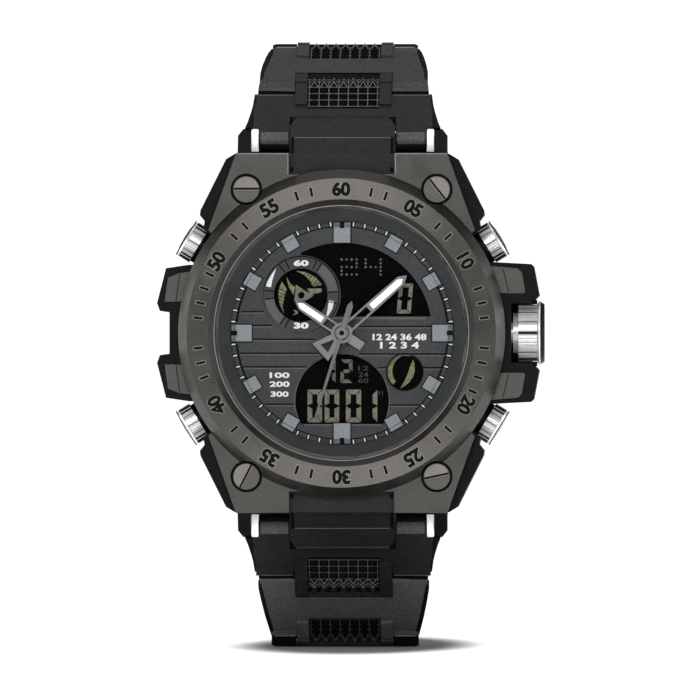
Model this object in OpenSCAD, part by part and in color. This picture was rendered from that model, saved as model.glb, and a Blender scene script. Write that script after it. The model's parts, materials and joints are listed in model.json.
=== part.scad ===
// Sports watch with hands over two display windows, on a link strap with a folding clasp.
// Every piece is drawn face up in the watch's frame, then turned so that the dial faces -Y.
// Watch frame: x to 3 o'clock, y to 12 o'clock, z out of the dial, z = 0 on the case back.

/* [Case] */
// Radius of the round case under the bezel
case_r = 23; // [22.8:0.1:23.4]
// Thickness of the case round its cavity
case_wall = 4.5; // [4.4:0.1:4.6]
// Height of the resin case above its back
case_h = 11; // [10.6:0.1:12]
// Distance from the dial's centre to the edge of the lugs
lug_y = 26; // [25.6:0.1:26.2]
// Step from the round case in to the shoulders' widest place
shoulder_step = 2.4; // [2:0.1:2.6]
// Half width of the middle block that the strap turns round
block_half = 7.6; // [7:0.1:8]
// Reach of the middle block past the lug pin
block_reach = 3; // [2.6:0.1:3.2]
// Half width across the lug horns
horn_half = 15.2; // [15:0.1:15.6]
// Width of one lug horn
horn_w = 1.9; // [1.5:0.1:2.2]
// Reach of the guards beside the crown past the round case
guard_right_reach = 5.6; // [5.4:0.1:5.8]
// Reach of the guards at 9 o'clock past the round case
guard_left_reach = 3.8; // [3.6:0.1:4]
// Half height of the guards above and below the crown
guard_y = 10.3; // [10:0.1:10.8]
// Half height of the gap between the crown's guards
guard_gap = 4.8; // [4.7:0.1:5.2]
// Height of the guards' plates above the guards
guard_plate_t = 0.4; // [0.3:0.1:0.8]

/* [Case back] */
// Thickness of the case back
back_t = 1.6; // [1.4:0.1:2]
// Step from the case's edge in to the case back's
back_inset = 1.5; // [0.8:0.1:1.6]
// Distance from the cavity to the seal's centre line
back_seal_step = 0.8; // [0.7:0.05:0.9]
// Thickness of the seal's cord
back_seal_d = 0.6; // [0.4:0.1:0.8]
// Distance from the cavity to the four back screws
back_screw_step = 2; // [1.9:0.05:2.1]
// Radius of a back screw's head
back_screw_head_r = 0.8; // [0.7:0.05:0.85]

/* [Bezel] */
// Reach of the bezel ring past the round case
bezel_reach = 0.7; // [0.5:0.1:0.9]
// Width of the bezel ring
bezel_w = 5.1; // [4.9:0.1:5.3]
// Width of the ring's outer slope
bezel_slope_w = 1.3; // [1.1:0.1:1.5]
// Width of the ring's flat band
band_w = 3.05; // [2.85:0.05:3.2]
// Height of the bezel ring
bezel_h = 3.1; // [2.8:0.1:3.6]
// Height of the ring's upright outer wall
bezel_wall_h = 0.8; // [0.5:0.1:1.2]
// Depth of the chamfer inside the bezel ring
bezel_chamfer = 0.9; // [0.6:0.1:1.2]
// Thickness of the plate under the ring
bezel_base_t = 0.8; // [0.6:0.1:1.2]
// Thickness of the plate over the lugs
lug_plate_t = 1.6; // [1.4:0.1:2]
// Half width of the lug plate along its outer edge
lug_plate_x = 15.3; // [15:0.1:15.4]
// Sideways place of a bezel screw
bezel_screw_x = 13.8; // [13.6:0.1:14]
// Place of a bezel screw towards the strap
bezel_screw_y = 20.8; // [20.6:0.1:21.4]
// Radius of a bezel screw's head
bezel_screw_r = 1.9; // [1.7:0.1:2]
// Gap round a bezel screw's head
bezel_screw_room = 0.35; // [0.3:0.05:0.4]
// Height of a bezel screw's head
bezel_screw_h = 0.8; // [0.6:0.1:1]
// Radius of a bezel screw's shank
bezel_shank_r = 0.7; // [0.5:0.1:0.9]
// Depth of a bezel screw's shank in the case
bezel_shank_l = 4; // [3:0.5:5]

/* [Crystal and dial] */
// Thickness of the crystal
crystal_t = 1.6; // [1.2:0.1:2]
// Depth of the crystal's top below the bezel's top
crystal_inset = 1; // [0.6:0.1:1.2]
// Width of the seal round the crystal
crystal_seal_w = 0.3; // [0.2:0.05:0.4]
// Depth of the dial below the crystal
dial_depth = 2.8; // [2.6:0.1:3.2]
// Thickness of the dial
dial_t = 0.5; // [0.3:0.1:0.6]
// Width of the sloped ring round the dial
chapter_w = 2.2; // [1.9:0.1:2.4]
// Width of the sloped ring's top edge
chapter_lip = 0.5; // [0.3:0.1:0.8]
// Height of the sloped ring's inner edge above the dial
chapter_foot = 0.3; // [0.2:0.1:0.5]
// Gap between the hour markers and the sloped ring
marker_gap = 0.2; // [0.1:0.05:0.4]
// Length of a small hour marker
marker_l = 2; // [1.6:0.1:2.2]
// Length of a large hour marker
marker_long_l = 2.9; // [2.5:0.1:3.1]
// Width of a small hour marker
marker_w = 2; // [1.6:0.1:2.2]
// Width of a large hour marker
marker_wide_w = 2.4; // [2:0.1:2.6]
// Height of an hour marker above the dial
marker_h = 0.5; // [0.3:0.1:0.6]
// Radius of the upper display window
upper_window_r = 13.1; // [12.6:0.1:13.1]
// Height of the upper window's flat edge above the centre
upper_window_y = 2.4; // [2.2:0.1:2.8]
// Sideways place of the small dial
subdial_x = -6; // [-6.2:0.1:-5.8]
// Height of the small dial above the centre
subdial_y = 5.5; // [5.3:0.1:5.7]
// Outer radius of the small dial's ring
subdial_r = 5.4; // [5.2:0.1:5.6]
// Width of the small dial's ring
subdial_w = 1.5; // [1.3:0.1:1.7]
// Drop of the lower window's centre below the middle
lower_window_y = 9.85; // [9.7:0.05:10]
// Radius of the lower display window
lower_window_r = 6.8; // [6.5:0.1:6.9]
// Drop of the lower window's flat edge below the middle
lower_window_cut = 13.2; // [13:0.1:13.4]
// Sideways place of the small round window
port_x = 9.1; // [8.9:0.1:9.4]
// Drop of the small round window below the middle
port_y = 5.7; // [5.5:0.1:5.9]
// Radius of the small round window
port_r = 2.6; // [2.4:0.1:2.7]

/* [Movement] */
// Thickness of the display panel
panel_t = 0.8; // [0.6:0.1:0.9]
// Gap between the movement's frame and its cavity
frame_room = 1.2; // [1:0.1:1.4]
// Height of the movement's frame
frame_h = 4.8; // [4.6:0.1:5]
// Thickness of the frame's floor
frame_floor = 0.5; // [0.4:0.1:0.6]
// Thickness of the circuit board
board_t = 0.6; // [0.5:0.1:0.8]
// Radius of the coin cell
cell_r = 8; // [7:0.1:8.2]
// Distance from the centre to the coin cell's middle
cell_y = 6; // [5:0.5:7]
// Thickness of the coin cell
cell_t = 1.4; // [1.2:0.1:1.6]
// Radius of the alarm's disc
buzzer_r = 6; // [5:0.5:7]
// Thickness of the alarm's disc
buzzer_t = 0.4; // [0.3:0.1:0.5]
// Radius of the step motor's coil
coil_r = 1.1; // [0.9:0.1:1.3]
// Distance from the frame's edge in to the coil
coil_inset = 5; // [4.5:0.5:5.5]
// Length of the step motor's coil
coil_l = 7; // [6:0.5:8]
// Radius of the second hand's arbor
arbor_r = 0.3; // [0.25:0.05:0.3]
// Wall of each pipe that carries a hand
pipe_wall = 0.3; // [0.25:0.05:0.35]
// Distance from the centre to the minute work's wheel
motion_c = 4.4; // [4.35:0.05:4.6]
// Distance from the centre to the third wheel
third_c = 4.32; // [4.22:0.05:4.42]
// Thickness of a wheel
wheel_t = 0.4; // [0.3:0.05:0.45]
// Radius of the post that a wheel turns on
post_r = 0.25; // [0.2:0.05:0.25]

/* [Hands] */
// Length of the hour hand
hour_l = 8.2; // [7.5:0.1:8.8]
// Length of the minute hand
minute_l = 12.6; // [12:0.1:13]
// Length of the second hand
second_l = 12.8; // [12:0.1:13.4]
// Thickness of a hand
hand_t = 0.25; // [0.2:0.05:0.3]
// Width of the hour and minute hands
hand_w = 1.6; // [1.4:0.1:1.8]
// Radius of the hour hand's hub
hub_r = 1.55; // [1.4:0.05:1.6]
// Radius of the second hand's hub
second_hub_r = 0.8; // [0.7:0.05:0.9]
// Width of the rails beside a hand's filling
hand_rail_w = 0.3; // [0.25:0.05:0.4]
// Length of the hour hand's tail
hour_tail_l = 3.6; // [3.2:0.1:4]
// Length of the minute hand's tail
minute_tail_l = 4.2; // [4:0.1:4.6]
// Half width of the minute hand's tail at its end
minute_tail_half = 1.7; // [1.5:0.1:1.8]
// Length of the second hand's tail
second_tail_l = 4.9; // [4.6:0.1:5.2]
// Height from one hand to the next
hand_step = 0.6; // [0.5:0.05:0.65]
// Hour that the hour hand shows, in degrees from 12
hour_turn = 304; // [0:1:359]
// Minute that the minute hand shows, in degrees from 12
minute_turn = 48.4; // [0:0.1:359.9]
// Second that the second hand shows, in degrees from 12
second_turn = 197.4; // [0:0.1:359.9]

/* [Crown] */
// Height of the crown's axis above the case back
crown_z = 6.8; // [6.5:0.1:7.2]
// Radius of the crown's tube
crown_tube_r = 2.1; // [1.9:0.1:2.3]
// Radius of the crown's stem
crown_stem_r = 0.9; // [0.7:0.1:1]
// Wall of the sleeve that the crown turns in
crown_sleeve_w = 0.5; // [0.4:0.1:0.5]
// Radius of the collar behind the crown
crown_collar_r = 2.9; // [2.7:0.1:3.2]
// Distance from the round case to the crown's collar
crown_stand = 1.8; // [1.7:0.1:2]
// Width of the collar behind the crown
crown_collar_w = 0.7; // [0.5:0.1:0.8]
// Radius of the crown's fluted part
crown_r = 4.1; // [3.9:0.1:4.2]
// Width of the crown's fluted part
crown_w = 2.75; // [2.5:0.05:3]
// Radius of the crown's cap
crown_cap_r = 4.6; // [4.4:0.1:4.65]
// Width of the crown's cap
crown_cap_w = 1; // [0.8:0.1:1.2]
// Bevel round the crown's cap
crown_bevel = 0.4; // [0.3:0.05:0.6]
// Grooves round the crown
crown_flutes = 16; // [12:1:20]

/* [Pushers] */
// Angle of each pusher above or below the crown's axis
pusher_turn = 31.3; // [31:0.1:31.6]
// Reach of a pusher past the round case
pusher_reach = 3.65; // [3.5:0.05:3.8]
// Radius of a pusher's head
pusher_r = 2.85; // [2.8:0.05:2.9]
// Length of a pusher's head
pusher_head_l = 2.25; // [2.2:0.05:2.3]
// Bevel round a pusher's outer end
pusher_bevel = 0.45; // [0.35:0.05:0.55]
// Rise of the dome on a pusher's outer end
pusher_dome = 0.25; // [0.2:0.05:0.3]
// Step from a pusher's head in to the skirt that slides in the case
pusher_skirt_step = 0.3; // [0.25:0.05:0.35]
// Depth of the pocket that a pusher's skirt slides in
pusher_pocket_d = 1.3; // [1.2:0.05:1.4]
// Wall of a pusher's head
pusher_wall = 0.7; // [0.6:0.05:0.8]
// Radius of a pusher's stem
pusher_stem_r = 0.9; // [0.8:0.05:0.95]
// Travel of a pusher
pusher_travel = 1; // [0.8:0.1:1]
// Outer radius of a pusher's tube
pusher_tube_r = 1.5; // [1.45:0.05:1.6]
// Grooves round a pusher
pusher_flutes = 12; // [10:1:16]

/* [Strap] */
// Distance from the dial's centre to the lug pin
lug_pin_y = 28; // [28:0.1:28.4]
// Height of the lug pin above the case back
lug_pin_z = 6; // [5.6:0.1:6.6]
// Radius of the lug pin
lug_pin_r = 0.75; // [0.6:0.05:0.9]
// Thickness of the strap's links
strap_t = 3.3; // [3:0.1:3.5]
// Half width of the strap's knuckles on the lug pin
lug_knuckle_half = 12.2; // [12:0.1:12.3]
// Half width of the strap at the lugs
strap_half = 14.1; // [14:0.1:14.3]
// Half width of the strap behind its second link
strap_tail_half = 10.2; // [10:0.1:11]
// Length of the first link, pin to pin
first_pitch = 9; // [8.8:0.1:9.5]
// Length of the second link, pin to pin
second_pitch = 13; // [12.5:0.1:13.5]
// Length of each later link, pin to pin
later_pitch = 15; // [14.5:0.1:15.5]
// Half width of the raised pad on each link
pad_half = 7; // [6.8:0.1:7.1]
// Reach of a pad past its pin
pad_reach = 1.4; // [1.3:0.1:1.7]
// Width of the ledge between a pad's tip and the next link's finger
pad_ledge_w = 1.15; // [1:0.05:1.2]
// Height of that ledge above the pin's axis
pad_ledge_z = 0.3; // [0.1:0.1:0.5]
// Gap between a link's end and the next link's knuckle
link_end_gap = 0.7; // [0.6:0.05:0.8]
// Length of a pad behind its pin
pad_back = 3.8; // [3.4:0.1:4]
// Height of a pad above the strap
pad_rise = 0.35; // [0.2:0.05:0.4]
// Radius of a strap pin
strap_pin_r = 0.6; // [0.5:0.05:0.7]
// Cover of the strap over the ends of its pins
strap_pin_cover = 1.2; // [0.8:0.1:1.5]

/* [Clasp] */
// Thickness of the clasp's plates
clasp_plate_t = 0.9; // [0.7:0.1:1.1]
// Gap between the ends of the clasp's two plates
clasp_part_gap = 1.5; // [1.2:0.1:2]
// Half width of the clasp's cover
cover_half = 10.6; // [10.3:0.1:11]
// Thickness of the clasp's cover
cover_t = 1.2; // [1:0.1:1.4]
// Distance from the clasp's end to its cover's hinge
cover_hinge_u = 5.6; // [5.5:0.1:6]
// Distance from the strap's pin to the cover's free end
cover_end_u = 5; // [4.6:0.1:6]
// Radius of the cover's hinge barrel
cover_barrel_r = 1.1; // [1:0.05:1.15]
// Radius of the cover's hinge pin
cover_pin_r = 0.5; // [0.4:0.05:0.6]
// Width of each ear that holds the cover's pin
cover_ear_w = 1.6; // [1.3:0.1:2]
// Rise of the cover above the strap's outer face
cover_rise = 0.4; // [0.3:0.1:0.6]

/* [Clearances] */
// Gap round what is pressed or bonded in place
seat_gap = 0.02; // [0.01:0.005:0.03]
// Gap round what turns or slides
run_gap = 0.05; // [0.04:0.005:0.06]
// Gap between links and beside moving pieces
link_gap = 0.3; // [0.25:0.01:0.35]

/* [Hidden] */
$fn = 64;

// Radii and reaches that follow the round case
cavity_r = case_r - case_wall;
back_r = case_r - back_inset;
back_seal_r = cavity_r + back_seal_step;
back_screw_pcd_r = cavity_r + back_screw_step;
chapter_out_r = cavity_r - 2 * run_gap;
chapter_in_r = chapter_out_r - chapter_w;
marker_out_r = chapter_in_r - marker_gap;
bezel_r = case_r + bezel_reach;
bezel_bore_r = bezel_r - bezel_w;
band_out_r = bezel_r - bezel_slope_w;
band_in_r = band_out_r - band_w;
frame_r = cavity_r - frame_room;
shoulder_x = case_r - shoulder_step;
guard_right_x = case_r + guard_right_reach;
guard_left_x = case_r + guard_left_reach;
crown_collar_x = case_r + crown_stand;
crown_cheek_y = crown_r + 2 * link_gap / 3;
pusher_face_r = case_r + pusher_reach;

// Levels through the watch, from the back to the bezel's top
case_z0 = back_t;
case_z1 = case_z0 + case_h;
ring_z0 = case_z1 + bezel_base_t;
ring_z1 = ring_z0 + bezel_h;
crystal_z1 = ring_z1 - crystal_inset;
crystal_z0 = crystal_z1 - crystal_t;
dial_z1 = crystal_z0 - dial_depth;
dial_z0 = dial_z1 - dial_t;
panel_z1 = dial_z0 - seat_gap;
panel_z0 = panel_z1 - panel_t;
frame_z1 = panel_z0 - seat_gap;
frame_z0 = frame_z1 - frame_h;
board_z1 = frame_z0 - seat_gap;
board_z0 = board_z1 - board_t;
plate_z1 = case_z1 + lug_plate_t;

// Radii of the arbor and pipes that carry the hands, from the inside out
minute_pipe_in = arbor_r + run_gap;
minute_pipe_r = minute_pipe_in + pipe_wall;
hour_pipe_in = minute_pipe_r + run_gap;
hour_pipe_r = hour_pipe_in + pipe_wall;
pipe_hole_r = hour_pipe_r + 2 * run_gap;

// Levels of the hands and of the four wheel layers under them
hour_z = dial_z1 + marker_h + hand_t;
minute_z = hour_z + hand_step;
second_z = minute_z + hand_step;
layer_step = 2.1 * wheel_t;
layer_z = [for (i = [0:3]) frame_z0 + frame_floor + wheel_t / 2 + i * layer_step];

// Teeth of each wheel and pinion
cannon_teeth = 12;
motion_teeth = 36;
motion_pinion_teeth = 10;
hour_teeth = 40;
seconds_teeth = 8;
third_teeth = 60;
third_pinion_teeth = 8;
centre_teeth = 64;
tooth_tip = 0.8;
tooth_root = 1.1;
tooth_tip_share = 0.1;
tooth_root_share = 0.22;

// Strap: slope of each link below the dial's plane, from the lugs to the clasp
upper_slope = [39, 66, 94, 120, 150];
lower_slope = [39, 52, 89, 117, 148];
link_pitch = [first_pitch, second_pitch, later_pitch, later_pitch, later_pitch];
link_half = [strap_half, 12.7 / 14.1 * strap_half, strap_tail_half, strap_tail_half,
    strap_tail_half, strap_tail_half];
knuckle_r = strap_t / 2;
cover_axis = [cover_hinge_u, knuckle_r - cover_barrel_r];
tip_notch_r = norm([pad_reach, knuckle_r + pad_rise]) + link_gap;
notch_r = tip_notch_r + pad_ledge_w;
block_notch_r = norm([block_reach, knuckle_r - 0.6]) + link_gap;
links = len(link_pitch);

// Pin centre after n links of a half, as [y, z] in the watch's frame
function pin_at(slope, n) = n == 0 ? [lug_pin_y, lug_pin_z]
    : pin_at(slope, n - 1) + link_pitch[n - 1] * [cos(slope[n - 1]), -sin(slope[n - 1])];
upper_end = pin_at(upper_slope, links);
lower_end = pin_at(lower_slope, links);
clasp_vec = [-lower_end[0], lower_end[1]] - upper_end;
clasp_len = norm(clasp_vec);
upper_clasp_slope = atan2(-clasp_vec[1], clasp_vec[0]);
lower_clasp_slope = atan2(clasp_vec[1], clasp_vec[0]);
plate_len = (clasp_len - clasp_part_gap) / 2;

// Where each pusher's pieces lie along its axis, from the dial's centre
pusher_seat_r = case_r - pusher_pocket_d;
pusher_head_r0 = pusher_face_r - pusher_head_l;
pusher_skirt_r = pusher_r - pusher_skirt_step;
pusher_boss_r1 = pusher_head_r0 - pusher_travel - 2 * run_gap;
pusher_tube_r0 = cavity_r + 1.1;
pusher_clip_t = 0.3;
pusher_flange_r = pusher_tube_r - 2 * link_gap / 3;
pusher_places = [pusher_turn, 180 - pusher_turn, 180 + pusher_turn, -pusher_turn];

resin = "#2b2b2d";
gunmetal = "#5c5955";
steel = "#b9bbbd";
chrome = "#d8dadc";
dark = "#3a3c3f";
lume = "#e9eee6";
brass = "#b8974a";

// Turns the watch's frame into the part's, with the dial facing -Y
module stand() {
    rotate([90, 0, 0]) children();
}

// Repeats a shape in all four corners
module four_ways() {
    for (flip_x = [0, 1], flip_y = [0, 1]) mirror([flip_x, 0, 0]) mirror([0, flip_y, 0]) children();
}

// Repeats a shape above and below the dial's centre
module two_ways() {
    for (flip = [0, 1]) mirror([0, flip, 0]) children();
}

// Cylinder between two levels
module post(r, z0, z1) {
    translate([0, 0, z0]) cylinder(r = r, h = z1 - z0);
}

// Ring between two levels
module ring(r_out, r_in, z0, z1) {
    difference() {
        post(r_out, z0, z1);
        post(r_in, z0 - 1, z1 + 1);
    }
}

// Flat outline raised between two levels
module slab(z0, z1) {
    translate([0, 0, z0]) linear_extrude(z1 - z0) children();
}

// Side profile drawn as [y, z], made from x0 to x1
module across(x0, x1) {
    translate([x0, 0, 0]) rotate([90, 0, 90]) linear_extrude(x1 - x0) children();
}

// Rod along x through a point given as [y, z]
module rod(r, x0, x1, at = [0, 0]) {
    translate([x0, at[0], at[1]]) rotate([0, 90, 0]) cylinder(r = r, h = x1 - x0);
}

// Shape drawn along z, laid along a radius of the case at the crown's height
module radial(turn) {
    translate([0, 0, crown_z]) rotate([0, 0, turn]) rotate([0, 90, 0]) children();
}

// Wheel with slim teeth, one of them at the angle tooth_at
module gear(teeth, c, share, h, tooth_at) {
    m = 2 * c * share / teeth;
    step = 360 / teeth;
    root = m * (teeth / 2 - tooth_root);
    tip = m * (teeth / 2 + tooth_tip);
    spots = [[root, -tooth_root_share], [tip, -tooth_tip_share],
        [tip, tooth_tip_share], [root, tooth_root_share]];
    points = [for (i = [0:teeth - 1], s = spots)
        s[0] * [cos(tooth_at + (i + s[1]) * step), sin(tooth_at + (i + s[1]) * step)]];
    translate([0, 0, -h / 2]) linear_extrude(h) polygon(points);
}

// Rod with grooves round it, from z0 to z1
module fluted(r, flutes, z0, z1) {
    groove = r * 0.06;
    slab(z0, z1) difference() {
        circle(r);
        for (i = [0:flutes - 1]) rotate(i * 360 / flutes) translate([r, 0]) circle(groove, $fn = 24);
    }
}

// Corner of the case that guards the lug, as one quarter of its outline
module shoulder_outline() {
    polygon([[0, 0], [0, lug_y], [horn_half + 0.3, lug_y], [horn_half + 1.6, lug_y - 0.8],
        [shoulder_x - 0.1, lug_y - 8.2], [shoulder_x, lug_y - 8.9],
        [shoulder_x - 0.7, lug_y - 9.8], [shoulder_x - 0.5, lug_y - 10.9],
        [0.65 * case_r, 0.4 * lug_y]]);
}

// Guard above the crown
module right_guard_outline() {
    polygon([[cavity_r, guard_gap], [cavity_r, guard_y], [case_r - 1.4, guard_y],
        [guard_right_x - 1.2, guard_y - 0.3],
        [guard_right_x - 0.8, guard_y - 0.7], [guard_right_x, guard_gap + 0.6],
        [guard_right_x - 0.6, guard_gap]]);
}

// Upper half of the guard at 9 o'clock
module left_guard_outline() {
    polygon([[-cavity_r, 0], [-cavity_r, guard_y - 0.4], [0.8 - case_r, guard_y - 0.4],
        [1.3 - guard_left_x, guard_y - 0.9], [-guard_left_x, guard_y - 5.95],
        [0.4 - guard_left_x, guard_y - 7.1], [1.8 - guard_left_x, guard_y - 7.3],
        [1.8 - guard_left_x, 0]]);
}

// Side profile of the middle block round the lug pin
module block_profile() {
    polygon([[lug_y - 4, case_z0 + 0.6], [lug_pin_y, lug_pin_z - knuckle_r],
        [lug_pin_y + block_reach - 0.6, lug_pin_z - knuckle_r],
        [lug_pin_y + block_reach, lug_pin_z - knuckle_r + 0.6],
        [lug_pin_y + block_reach, lug_pin_z + 0.8], [lug_pin_y + 0.4, lug_pin_z + 3.1],
        [lug_y - 2, case_z1], [lug_y - 4, case_z1]]);
}

// Side profile of a lug horn, round the pin at its end
module horn_profile() {
    translate([lug_pin_y, lug_pin_z]) circle(knuckle_r);
    polygon([[lug_y - 4, case_z0 + 0.6], [lug_pin_y - 0.6, lug_pin_z - knuckle_r + 0.1],
        [lug_pin_y + 0.9, lug_pin_z + knuckle_r - 0.3], [lug_y, lug_pin_z + 4], [lug_y - 4, case_z1]]);
}

// Side profile of the case's foot behind the strap's knuckles
module heel_profile() {
    polygon([[lug_y - 4, case_z0 + 0.6], [lug_y + 0.4, case_z0 + 0.6], [lug_y + 0.4, lug_pin_z],
        [lug_y - 4, lug_pin_z]]);
}

// Shape whose two far corners are cut, as seen from the front
module cornered(half, y1, cut_x, cut_y) {
    intersection() {
        children();
        slab(0, case_z1 + 1) polygon([[-half, 0], [half, 0], [half, y1 - cut_y], [half - cut_x, y1],
            [cut_x - half, y1], [-half, y1 - cut_y]]);
    }
}

module case_body() {
    color(resin) stand() difference() {
        union() {
            post(case_r, case_z0, case_z1);
            slab(case_z0 + 0.6, case_z1) four_ways() shoulder_outline();
            slab(case_z0 + 1, case_z1) two_ways() {
                right_guard_outline();
                left_guard_outline();
            }
            slab(case_z0 + 1, case_z1) translate([cavity_r, -guard_gap])
                square([crown_collar_x - cavity_r - link_gap, 2 * guard_gap]);
            slab(case_z0 + 1, case_z1) two_ways() translate([cavity_r, crown_cheek_y])
                square([crown_collar_x + crown_w - cavity_r, guard_y - 1 - crown_cheek_y]);
            slab(case_z0 + 1, crown_z) translate([cavity_r, -guard_gap])
                square([crown_collar_x + crown_w - cavity_r, 2 * guard_gap]);
            for (turn = pusher_places) radial(turn)
                post(pusher_r + link_gap, cavity_r - 1, pusher_boss_r1);
            two_ways() {
                across(-horn_half, horn_half) heel_profile();
                cornered(block_half, lug_pin_y + block_reach, 0.6, 0.9)
                    across(-block_half, block_half) block_profile();
                cornered(horn_half, lug_pin_y + knuckle_r, 0.75, 1) for (side = [0, 1])
                    mirror([side, 0, 0]) across(horn_half - horn_w, horn_half) horn_profile();
            }
        }
        four_ways() rod(knuckle_r + link_gap, block_half, horn_half - horn_w, [lug_pin_y, lug_pin_z]);
        post(cavity_r, 0, case_z1 + 1);
        ring(back_seal_r + back_seal_d / 2 + seat_gap, back_seal_r - back_seal_d / 2 - seat_gap,
            case_z0 - 1, case_z0 + back_seal_d + seat_gap);
        for (i = [0:3]) rotate(45 + 90 * i) translate([back_screw_pcd_r, 0, 0])
            post(back_screw_head_r / 2 + seat_gap, 0, case_z0 + 2.5 + seat_gap);
        four_ways() translate([bezel_screw_x, bezel_screw_y, 0])
            post(bezel_shank_r + seat_gap, case_z1 - bezel_shank_l - seat_gap, case_z1 + 1);
        two_ways() rod(lug_pin_r + seat_gap, -horn_half - 1, horn_half + 1, [lug_pin_y, lug_pin_z]);
        radial(0) {
            post(crown_tube_r + seat_gap, cavity_r - 3, crown_collar_x);
            post(crown_collar_r + 2 * link_gap / 3, crown_collar_x - link_gap, crown_collar_x + crown_w);
            post(crown_cheek_y, crown_collar_x + crown_collar_w - run_gap, crown_collar_x + 2 * crown_w);
        }
        for (turn = pusher_places) radial(turn) {
            post(pusher_tube_r + seat_gap, cavity_r - 3, case_r + 1);
            post(pusher_skirt_r + 2 * run_gap, pusher_seat_r, pusher_face_r);
            post(pusher_r + link_gap, pusher_boss_r1, pusher_face_r + 3);
        }
    }
}

module guard_plates() {
    color(gunmetal) stand() slab(case_z1, case_z1 + guard_plate_t) two_ways() difference() {
        union() {
            polygon([[0.9 * case_r, guard_y - 0.5], [guard_right_x - 3.1, guard_y - 0.9],
                [guard_right_x - 2.5, guard_y - 1.4], [guard_right_x - 2, guard_gap + 1.2],
                [guard_right_x - 2.2, guard_gap + 0.9], [0.9 * case_r, guard_gap + 0.9]]);
            polygon([[1.6 - guard_left_x, guard_y - 2.2], [3.2 - guard_left_x, guard_y - 1.6],
                [6 - guard_left_x, guard_y - 1.2], [6 - guard_left_x, guard_y - 5.8],
                [1.1 - guard_left_x, guard_y - 5.8]]);
        }
        circle(case_r + seat_gap);
    }
}

module case_back() {
    color(steel) stand() difference() {
        rotate_extrude() polygon([[0, 0], [back_r - 1, 0], [back_r, 0.6], [back_r, case_z0], [0, case_z0]]);
        for (i = [0:3]) rotate(45 + 90 * i) translate([back_screw_pcd_r, 0, 0]) {
            post(back_screw_head_r + seat_gap, -1, 0.8);
            post(back_screw_head_r / 2 + seat_gap, 0, case_z0 + 1);
        }
    }
}

module case_back_seal() {
    color(dark) stand() ring(back_seal_r + back_seal_d / 2, back_seal_r - back_seal_d / 2,
        case_z0, case_z0 + back_seal_d);
}

module case_back_screws() {
    color(steel) stand() for (i = [0:3]) rotate(45 + 90 * i) translate([back_screw_pcd_r, 0, 0])
        difference() {
            union() {
                post(back_screw_head_r, 0.3, 0.8);
                post(back_screw_head_r / 2, 0.5, case_z0 + 2.5);
            }
            translate([-1, -0.1, 0]) cube([2, 0.2, 0.5]);
        }
}

module bezel_base() {
    color(gunmetal) stand() difference() {
        union() {
            post(case_r - 0.1, case_z1, ring_z0);
            slab(case_z1, plate_z1) four_ways() polygon([[0, 0], [0, lug_y + 0.1],
                [lug_plate_x, lug_y + 0.1], [shoulder_x - 1.3, lug_y - 11.1], [0.65 * case_r, 0.4 * lug_y]]);
        }
        post(bezel_bore_r, case_z1 - 1, plate_z1 + 1);
        post(bezel_r + seat_gap, ring_z0, plate_z1 + 1);
        slab(case_z1 - 1, plate_z1 + 1) two_ways() translate([-block_half - seat_gap, case_r])
            square([2 * block_half + 2 * seat_gap, lug_y]);
        four_ways() translate([bezel_screw_x, bezel_screw_y, 0]) {
            post(bezel_screw_r + bezel_screw_room, plate_z1 - bezel_screw_h / 2, plate_z1 + 1);
            post(bezel_shank_r + seat_gap, case_z1 - 1, plate_z1);
        }
    }
}

module bezel_ring() {
    color(gunmetal) stand() difference() {
        rotate_extrude($fn = 128) polygon([[bezel_bore_r, ring_z0], [bezel_r, ring_z0],
            [bezel_r, ring_z0 + bezel_wall_h], [band_out_r, ring_z1], [band_in_r, ring_z1],
            [bezel_bore_r, ring_z1 - bezel_chamfer]]);
        four_ways() translate([bezel_screw_x, bezel_screw_y, 0])
            post(bezel_screw_r + bezel_screw_room, case_z1, ring_z1);
    }
}

module bezel_screws() {
    head_z0 = plate_z1 - bezel_screw_h / 2;
    slot_turns = [-52, 0, 63, 12];
    places = [[1, 1], [-1, 1], [-1, -1], [1, -1]];
    color(steel) stand() for (i = [0:3])
        translate([places[i][0] * bezel_screw_x, places[i][1] * bezel_screw_y, 0]) difference() {
            union() {
                post(bezel_screw_r, head_z0, head_z0 + bezel_screw_h);
                post(bezel_shank_r, case_z1 - bezel_shank_l, head_z0);
            }
            rotate(slot_turns[i]) translate([-3, -0.25, head_z0 + bezel_screw_h / 2]) cube([6, 0.5, 1]);
        }
}

module crystal() {
    color("lightblue", 0.3) stand() post(bezel_bore_r - crystal_seal_w, crystal_z0, crystal_z1);
}

module crystal_seal() {
    color(dark) stand() ring(bezel_bore_r - seat_gap, bezel_bore_r - crystal_seal_w + seat_gap,
        crystal_z0, crystal_z1 - 0.2);
}

module chapter_ring() {
    color(dark) stand() rotate_extrude($fn = 128) polygon([[chapter_in_r, dial_z1],
        [chapter_out_r, dial_z1], [chapter_out_r, crystal_z0], [chapter_out_r - chapter_lip, crystal_z0],
        [chapter_in_r, dial_z1 + chapter_foot]]);
}

module hour_markers() {
    color(steel) stand() for (hour = [0:11]) rotate(-30 * hour) {
        long = hour % 3 == 0;
        w = long ? marker_wide_w : marker_w;
        l = long ? marker_long_l : marker_l;
        translate([-w / 2, marker_out_r - l, dial_z1]) cube([w, l, marker_h]);
    }
}

module upper_window_outline() {
    difference() {
        circle(upper_window_r);
        translate([-2 * upper_window_r, upper_window_y - 2 * upper_window_r])
            square([4 * upper_window_r, 2 * upper_window_r]);
        translate([subdial_x, subdial_y]) circle(subdial_r + 0.4);
        translate([subdial_x - 2 * upper_window_r, 0]) square(2 * upper_window_r);
    }
}

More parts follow.
